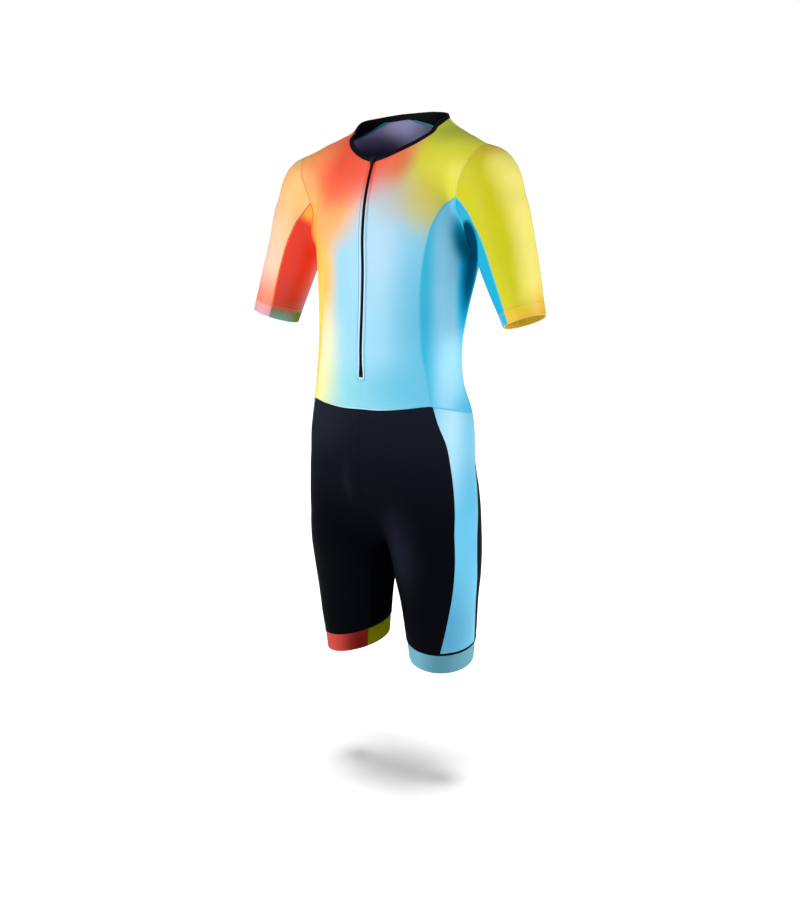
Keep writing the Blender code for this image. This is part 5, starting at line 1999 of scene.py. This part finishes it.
YELLOW_GREEN = dye(220, 216, 58)
FRONT_PRINT_AND_PAINTED_LIGHT = Colouring(dye(150, 211, 234), (
    Spot(dye(186, 214, 238), (34, 0, -205), (52, 400, 72), 0.9, 0.65),
    Spot(dye(122, 198, 228), (84, 0, -290), (30, 400, 110), 0.9, 0.7),
    Spot(dye(84, 180, 216), (116, 0, -350), (46, 400, 150), 0.9, 0.8),
    Spot(dye(136, 212, 218), (-36, 0, -445), (70, 400, 42), 0.9, 0.8),
    Spot(dye(92, 186, 218), (70, 0, -430), (70, 400, 40), 0.9, 0.8),
    Spot(YELLOW_GREEN, (146, 0, -58), (100, 400, 104), 0.34),
    Spot(dye(168, 184, 50), (118, 0, -8), (56, 400, 28), 0.8, 0.9),
    Spot(dye(248, 238, 140), (-150, 0, -420), (84, 400, 100), 0.55),
    Spot(dye(252, 194, 92), (-132, 0, -245), (72, 400, 140), 0.3),
    Spot(dye(255, 238, 186), (-92, 0, -350), (36, 400, 50), 0.9, 0.85),
    Spot(dye(252, 178, 106), (-86, 0, -128), (76, 400, 72), 0.42),
    Spot(dye(206, 162, 120), (56, 0, -122), (44, 400, 34), 0.9, 0.5),
    Spot(dye(206, 190, 80), (104, 0, -150), (30, 400, 30), 0.9, 0.6),
    Spot(dye(222, 128, 56), (46, 0, -66), (22, 400, 34), 0.8, 0.9),
    Spot(dye(252, 184, 100), (-150, 0, -80), (44, 400, 80), 0.6),
    Spot(dye(252, 128, 72), (-82, 0, -40), (62, 400, 94), 0.46),
    Spot(dye(248, 104, 66), (-26, 0, -30), (86, 400, 94), 0.38),
    Spot(dye(250, 82, 58), (-48, 0, -58), (54, 400, 62), 0.8, 0.8),
    # painted light: paler orange on top of the right shoulder, where the key light only grazes
    Spot(dye(255, 156, 96), (-128, 0, -40), (36, 400, 36), 0.8, 0.5),
))
BACK_PRINT = Colouring(dye(150, 211, 234), (
    Spot(dye(248, 238, 136), (-140, 0, -410), (80, 400, 130), 0.45),
    Spot(dye(252, 160, 84), (-104, 0, -150), (84, 400, 150), 0.5),
    Spot(dye(250, 106, 70), (-50, 0, -50), (90, 400, 70), 0.6, 0.9),
    Spot(YELLOW_GREEN, (128, 0, -60), (96, 400, 100), 0.4),
))
SIDE_LEFT_PRINT_PAINTED_HIGHLIGHT_AND_SHADE = Colouring(dye(60, 178, 214), (
    # painted highlight: a pale band down the side panel, and a smaller one lower down
    Spot(dye(162, 224, 250), (128, -58, -310), (15, 60, 175), 0.9, 0.9),
    Spot(dye(176, 224, 244), (130, -56, -405), (10, 30, 60), 0.9, 0.5),
    # painted shade under the arm: a bright cyan edge, then dark teal towards the back
    Spot(dye(12, 192, 236), (150, -12, -244), (400, 29, 104), 0.35, 0.95),
    Spot(dye(6, 150, 190), (150, -26, -178), (400, 32, 44), 0.35, 0.95),
    Spot(dye(0, 90, 122), (150, -5, -238), (400, 25, 70), 0.6),
    Spot(dye(0, 76, 108), (150, -19, -178), (400, 30, 40), 0.45),
))
SIDE_RIGHT_PRINT = Colouring(dye(255, 214, 84), (
    Spot(dye(255, 130, 58), (-145, 0, -190), (60, 90, 80), 0.8, 0.9),
))
SLEEVE_LEFT_PRINT_AND_PAINTED_HIGHLIGHT = Colouring(dye(200, 196, 30), (
    # painted highlight: a pale yellow band down the outer side of the sleeve
    *(Spot(dye(255, 242, 132), place, (16, 60, 34), 0.9, 0.74) for place in (
        (206, -10, -66), (226, -18, -98), (242, -25, -134), (254, -30, -172), (263, -34, -212),
        (272, -40, -254))),
    Spot(dye(216, 180, 58), (184, -30, -50), (30, 60, 14), 0.9, 0.6),
    Spot(dye(250, 186, 56), (286, -40, -306), (16, 60, 46), 0.9, 0.7),
    Spot(dye(236, 172, 56), (262, -60, -338), (80, 120, 36), 0.8, 0.95),
))
SLEEVE_RIGHT_PRINT_AND_PAINTED_HIGHLIGHT = Colouring(dye(246, 202, 164), (
    Spot(dye(252, 190, 112), (-166, 0, -95), (60, 130, 84), 0.7),
    # painted highlight: a pale streak down the front of the sleeve
    Spot(dye(246, 206, 190), (-246, -60, -205), (30, 120, 60), 0.9, 0.5),
    Spot(dye(250, 120, 98), (-256, 0, -296), (64, 130, 46), 0.7, 0.95),
))
UNDERARM_LEFT_PRINT_AND_PAINTED_SHADE = Colouring(dye(34, 168, 204), (
    Spot(dye(58, 168, 208), (152, -57, -150), (22, 30, 16), 0.6, 0.8),
    # painted shade: dark teal in the armpit
    Spot(dye(0, 62, 90), (165, -46, -192), (22, 26, 38), 0.14),
))
UNDERARM_RIGHT_PRINT = Colouring(dye(224, 50, 24), (
    Spot(dye(252, 170, 60), (-142, -58, -134), (20, 60, 22), 0.5),
    Spot(dye(168, 34, 14), (-196, -20, -322), (50, 60, 56), 0.9, 0.8),
    Spot(dye(140, 84, 40), (-206, -20, -326), (60, 70, 24), 0.8, 0.8),
))
STRIPE_PRINT = Colouring(dye(88, 184, 218), (
    Spot(dye(182, 226, 244), (136, -66, -500), (18, 60, 90), 0.9, 0.8),
    Spot(dye(58, 166, 210), (172, 0, -560), (24, 60, 180), 0.9, 0.8),
    Spot(dye(60, 140, 178), (120, -70, -850), (60, 70, 90), 0.9, 0.9),
))
BAND_LEFT_PRINT = Colouring(dye(100, 156, 172), (
    Spot(dye(52, 108, 128), (118, -62, -905), (22, 60, 60), 0.9, 0.6),
))
BAND_RIGHT_PRINT_AND_PAINTED_SHADE = Colouring(dye(182, 62, 50), (
    # painted shade: dark red on the inner front of the band, where the left leg shades it
    Spot(dye(104, 8, 0), (-46, -54, -900), (28, 60, 60), 0.8),
))
CUFF_RIGHT_PRINT = Colouring(dye(240, 152, 140), (
    Spot(dye(216, 168, 190), (-262, -60, -318), (40, 90, 18), 0.8, 0.95),
))
UNDERCUFF_RIGHT_PRINT = Colouring(dye(132, 108, 76), (
    Spot(dye(100, 168, 172), (-222, -50, -330), (20, 40, 16), 0.8, 0.9),
    Spot(dye(66, 128, 34), (-198, 8, -328), (24, 34, 24), 0.7),
))
SHORTS_DYE_WITH_PAINTED_LIGHT_AND_SHADE = Colouring(dye(24, 28, 40), (
    # painted shade: darker towards the thigh bands
    Spot(dye(5, 6, 9), (0, 0, -860), (600, 600, 330), 0.42, 0.95),
    # painted light: paler at the right hip, with painted highlights on the left thigh and down the middle of
    # the front
    Spot(dye(34, 38, 50), (-96, -110, -470), (60, 80, 50), 0.9, 0.7),
    Spot(dye(24, 27, 38), (62, -120, -700), (30, 60, 60), 0.9, 0.8),
    Spot(dye(36, 38, 48), (-24, -124, -580), (7, 60, 26), 0.9, 0.25),
))


FACE_COLOURS = {
    "front_left": FRONT_PRINT_AND_PAINTED_LIGHT, "front_right": FRONT_PRINT_AND_PAINTED_LIGHT, "back": BACK_PRINT,
    "side_left": SIDE_LEFT_PRINT_PAINTED_HIGHLIGHT_AND_SHADE, "side_right": SIDE_RIGHT_PRINT,
    "sleeve_left": SLEEVE_LEFT_PRINT_AND_PAINTED_HIGHLIGHT, "sleeve_right": SLEEVE_RIGHT_PRINT_AND_PAINTED_HIGHLIGHT,
    "underarm_left": UNDERARM_LEFT_PRINT_AND_PAINTED_SHADE, "underarm_right": UNDERARM_RIGHT_PRINT,
    "cuff_left": SLEEVE_LEFT_PRINT_AND_PAINTED_HIGHLIGHT, "cuff_right": CUFF_RIGHT_PRINT,
    "undercuff_left": UNDERARM_LEFT_PRINT_AND_PAINTED_SHADE, "undercuff_right": UNDERCUFF_RIGHT_PRINT,
    "stripe_left": STRIPE_PRINT, "stripe_right": STRIPE_PRINT,
}
BAND_COLOURS = {
    "gripper_outer_left": BAND_LEFT_PRINT, "gripper_inner_left": BAND_LEFT_PRINT,
    "gripper_outer_right": BAND_RIGHT_PRINT_AND_PAINTED_SHADE, "gripper_inner_right": Colouring(dye(104, 108, 4)),
}
SEAM_COLOURS = {
    "front": FRONT_PRINT_AND_PAINTED_LIGHT, "back": BACK_PRINT, "stripe": Colouring(dye(96, 190, 222)),
    "princess_left": Colouring(dye(78, 196, 222)), "princess_right": SIDE_RIGHT_PRINT,
    "armhole_left": Colouring(dye(216, 216, 92)), "armhole_right": Colouring(dye(250, 172, 92)),
    # painted shade: dark teal where the seam passes under the left arm
    "under_left": Colouring(dye(78, 202, 224), (Spot(dye(0, 58, 84), (164, -30, -202), (26, 60, 38), 0.2),)),
    "under_right": Colouring(dye(236, 116, 58)),
}


@dataclass
class Dyes:
    """The finishes of the whole suit, each asked for by the piece it dresses."""

    reverse: ClothFinish = ClothFinish("lavender_reverse", Colouring(dye(178, 174, 224), (
        # painted light and shade inside the back of the neck: paler at the wearer's right, darker in the
        # middle and lower down
        Spot(dye(216, 210, 255), (-76, 56, -4), (40, 60, 22), 0.8, 0.8),
        Spot(dye(44, 50, 70), (34, 66, -12), (36, 60, 34), 0.8, 0.75),
        Spot(dye(40, 44, 58), (-40, 60, -82), (140, 90, 58), 0.45, 0.9),)), sheen=0.05, specular=0.2)
    dark_reverse: ClothFinish = ClothFinish("black_reverse", Colouring(dye(20, 21, 27)), sheen=0.0, specular=0.12)
    band_reverse: ClothFinish = ClothFinish("silicone_reverse", Colouring(dye(60, 62, 68)), sheen=0.0,
                                            roughness=0.35)
    shorts: ClothFinish = ClothFinish("black_shorts_cloth", SHORTS_DYE_WITH_PAINTED_LIGHT_AND_SHADE, roughness=0.6, specular=0.006,
                                      sheen=0.0)
    # painted shade: the inner leg panels nearly black, darker than the shorts, for the shade between the legs
    shaded_inner_leg: ClothFinish = ClothFinish("inner_leg_cloth_painted_shade", Colouring(dye(5, 6, 9)), roughness=0.6,
                                         specular=0.0, sheen=0.0)
    dark_seam: ClothFinish = ClothFinish("black_flat_seam", SHORTS_DYE_WITH_PAINTED_LIGHT_AND_SHADE, Texture.LADDER, 0.0011, 0.0002, 0.6,
                                         roughness=0.6, specular=0.006, sheen=0.0)
    binding: ClothFinish = ClothFinish("black_binding", Colouring(dye(9, 10, 14)), Texture.RIB, 0.0011, sheen=0.0,
                                       specular=0.07, roughness=0.5)
    facing: ClothFinish = ClothFinish("black_facing", Colouring(dye(9, 9, 13)), sheen=0.0, specular=0.08)
    edge_tape: ClothFinish = ClothFinish("teal_edge_tape", Colouring(dye(44, 150, 174)), Texture.LADDER, 0.0012,
                                         sheen=0.0, specular=0.2)
    tape: ClothFinish = ClothFinish("black_zip_tape", Colouring(dye(8, 10, 15)), Texture.RIB, 0.0008, sheen=0.0,
                                    specular=0.02)
    zip_edge: ClothFinish = ClothFinish("zip_edge_print", Colouring(FRONT_PRINT_AND_PAINTED_LIGHT.ground, (
        # the front's print, then a painted highlight that pales the rolled edges over the middle of the
        # front, and red near the top
        *FRONT_PRINT_AND_PAINTED_LIGHT.spots, Spot(dye(214, 242, 252), (0, 0, -330), (60, 400, 180), 0.6, 0.75),
        Spot(dye(244, 74, 54), (-10, 0, -60), (60, 400, 52), 0.6, 0.8),)), specular=0.1, sheen=0.0)
    coil: ClothFinish = ClothFinish("black_coil", Colouring(dye(8, 12, 20)), Texture.PLAIN, roughness=0.5,
                                    specular=0.05, sheen=0.0)
    stop: ClothFinish = ClothFinish("black_stop", Colouring(dye(12, 13, 18)), Texture.PLAIN, roughness=0.5,
                                    specular=0.2, sheen=0.0)
    zip_thread: ClothFinish = ClothFinish("zip_thread", Colouring(dye(0, 142, 184), (
        Spot(dye(214, 40, 50), (-10, 0, -60), (60, 400, 52), 0.3),)), Texture.PLAIN, roughness=0.5)
    aqua_thread: ClothFinish = ClothFinish("aqua_thread", Colouring(dye(176, 230, 244)), Texture.PLAIN,
                                           roughness=0.5)
    slider: HardFinish = HardFinish("enamelled_slider", dye(14, 15, 19), dye(46, 47, 52), 0.3, 0.4)
    tab: HardFinish = HardFinish("moulded_tab", dye(12, 13, 16), dye(34, 35, 39), 0.0, 0.46)
    shaded: tuple[str, ...] = ("side_left", "underarm_left", "undercuff_right")

    def of(self, node: str) -> ClothFinish:
        """The face of the cloth of a piece.

        Args:
            node: the solid's name.

        Returns:
            Its finish.
        """
        if node in BAND_COLOURS:
            return ClothFinish(node + "_band", BAND_COLOURS[node], Texture.RIB, 0.0016, 0.00025, 0.5,
                               roughness=0.6, specular=0.0 if "inner" in node else 0.06, sheen=0.0)
        if node not in FACE_COLOURS:
            # the inner leg panels take the painted shade between the legs
            return self.shaded_inner_leg if node.startswith("leg_inner") else self.shorts
        face = FACE_COLOURS[node]
        # side_left and underarm_left carry painted shade under the arm, kept dark with no gloss
        if node in self.shaded:
            return ClothFinish(node + "_print", face, specular=0.0, sheen=0.0)
        name = "front_print" if face is FRONT_PRINT_AND_PAINTED_LIGHT else node + "_print"
        return ClothFinish(name, face, specular=0.14 if node == "sleeve_left" else 0.3)

    def seam(self, name: str, side: Side) -> ClothFinish:
        """The stitched seam of a name on a side.

        Args:
            name: the seam's finish, as the runs name it.
            side: which side.

        Returns:
            Its finish.
        """
        if name == "dark":
            return self.dark_seam
        tag = "" if name in SEAM_COLOURS else f"_{side.value}"
        return ClothFinish(f"{name}_flat_seam{tag}", SEAM_COLOURS[name + tag], Texture.LADDER, 0.0011, 0.0002,
                           0.6, specular=0.02 if name + tag == "under_left" else 0.3, sheen=0.0)

    def hem_thread(self, side: Side) -> ClothFinish:
        """The thread of the sleeve hem."""
        return ClothFinish(f"hem_thread_{side.value}", FACE_COLOURS[f"sleeve_{side.value}"], Texture.PLAIN)


# ---- floor, lights and camera ------------------------------------------------------------------
@dataclass
class Stage:
    """A pale floor, soft lights and the camera."""

    azimuth: float = 32.0
    elevation: float = 9.75
    away: float = 1.83
    middle: float = -0.233
    focal_pixels: float = 1064.0
    frame_pixels: float = 900.0
    sensor: float = 36.0
    floor_height: float = -1.14
    floor_half: float = 6.0
    floor_points: int = 9
    sky_light: float = 0.11
    sky_shown: float = 1.05

    def build(self) -> None:
        """Makes the floor, the lights, the world and the camera."""
        floor = self._build_floor()
        self._build_world()
        for name, turn, rise, spread, power in (
            ("key", -34.0, 22.0, 36.0, 1.85),
            ("side", 102.0, 12.0, 30.0, 1.65),
            ("crown", 30.0, 72.0, 40.0, 0.5),
        ):
            self._build_light(name, turn, rise, spread, power)
        self._light_floor(self._build_light("floor_light", 32.0, 88.0, 26.0, 3.8), floor)
        self._build_camera()

    def _build_floor(self) -> Piece:
        """A wide flat floor.

        Returns:
            The floor.
        """
        along = np.linspace(-self.floor_half, self.floor_half, self.floor_points)
        x, y = (grid.ravel() for grid in np.meshgrid(along, along))
        points = np.stack([x, y, 0 * x + self.floor_height], -1)
        floor = make_object("floor", points, quads(self.floor_points, self.floor_points))
        material, tree, shader = new_material("pale_floor", {"Roughness": 0.9})
        place = tree.node("TexCoord").outputs["Object"]
        cloudy = tree.node("TexNoise", {"Vector": place, "Scale": 3.0}).outputs["Fac"]
        tone = tree.maths("MULTIPLY_ADD", cloudy, 0.02, 0.86)
        grey = tree.node("CombineColor", {"Red": tone, "Green": tone, "Blue": tone}).outputs["Color"]
        tree.feed(shader, {"Base Color": grey})
        floor.data.materials.append(material)
        return floor

    def _build_world(self) -> None:
        """White all round, less strong as a light than as a backdrop."""
        world = bpy.data.worlds.new("white_surround")
        world.use_nodes = True
        bpy.context.scene.world = world
        tree = Tree(world.node_tree)
        ray = tree.node("LightPath").outputs["Is Camera Ray"]
        strength = tree.node("MapRange", {"Value": ray, "To Min": self.sky_light, "To Max": self.sky_shown})
        tree.feed(world.node_tree.nodes["Background"], {
            "Color": (1.0, 1.0, 1.0, 1.0), "Strength": strength.outputs["Result"]})

    def _build_light(self, name: str, turn: float, rise: float, spread: float,
                     power: float) -> Piece:
        """A broad, distant light.

        Args:
            name: the light's name.
            turn: where it stands round the suit, from the front towards the wearer's left.
            rise: how high it stands, in degrees.
            spread: how wide it looks from the suit, in degrees.
            power: light that falls on a surface facing it, in watts a square metre.

        Returns:
            The lamp.
        """
        light = bpy.data.lights.new(name, "SUN")
        light.angle = float(np.radians(spread))
        light.energy = power
        lamp = bpy.data.objects.new(name, light)
        bpy.context.scene.collection.objects.link(lamp)
        lamp.rotation_euler = (np.radians(90.0 - rise), 0.0, np.radians(turn))
        return lamp

    def _light_floor(self, lamp: Piece, floor: Piece) -> None:
        """Keeps a lamp's light to the floor, where the suit still shades it."""
        lit = bpy.data.collections.new("lit_floor")
        lit.objects.link(floor)
        lamp.light_linking.receiver_collection = lit

    def _build_camera(self) -> None:
        """The camera: level with its lens, at its turn and height."""
        camera = bpy.data.cameras.new("camera")
        camera.sensor_fit = "VERTICAL"
        camera.sensor_height = self.sensor
        camera.lens = self.sensor * self.focal_pixels / self.frame_pixels
        eye = bpy.data.objects.new("camera", camera)
        bpy.context.scene.collection.objects.link(eye)
        turn = np.radians(self.azimuth)
        eye.location = (np.sin(turn) * self.away, -np.cos(turn) * self.away, self.middle)
        eye.rotation_euler = (np.radians(90.0 - self.elevation), 0.0, turn)
        bpy.context.scene.camera = eye


def main() -> None:
    """Builds the stage, then the suit from its cloth to its trims."""
    logging.basicConfig(level=logging.INFO, format="%(message)s")
    bpy.context.scene.view_settings.view_transform = "Standard"
    Stage().build()
    works = ClothWorks(Cut().build(), Effects())
    dyes = Dyes()
    for part in (UpperBody, Shorts, Neckline, Zip, SeamLines):
        part(works, dyes).build()


if __name__ == "__main__":
    main()
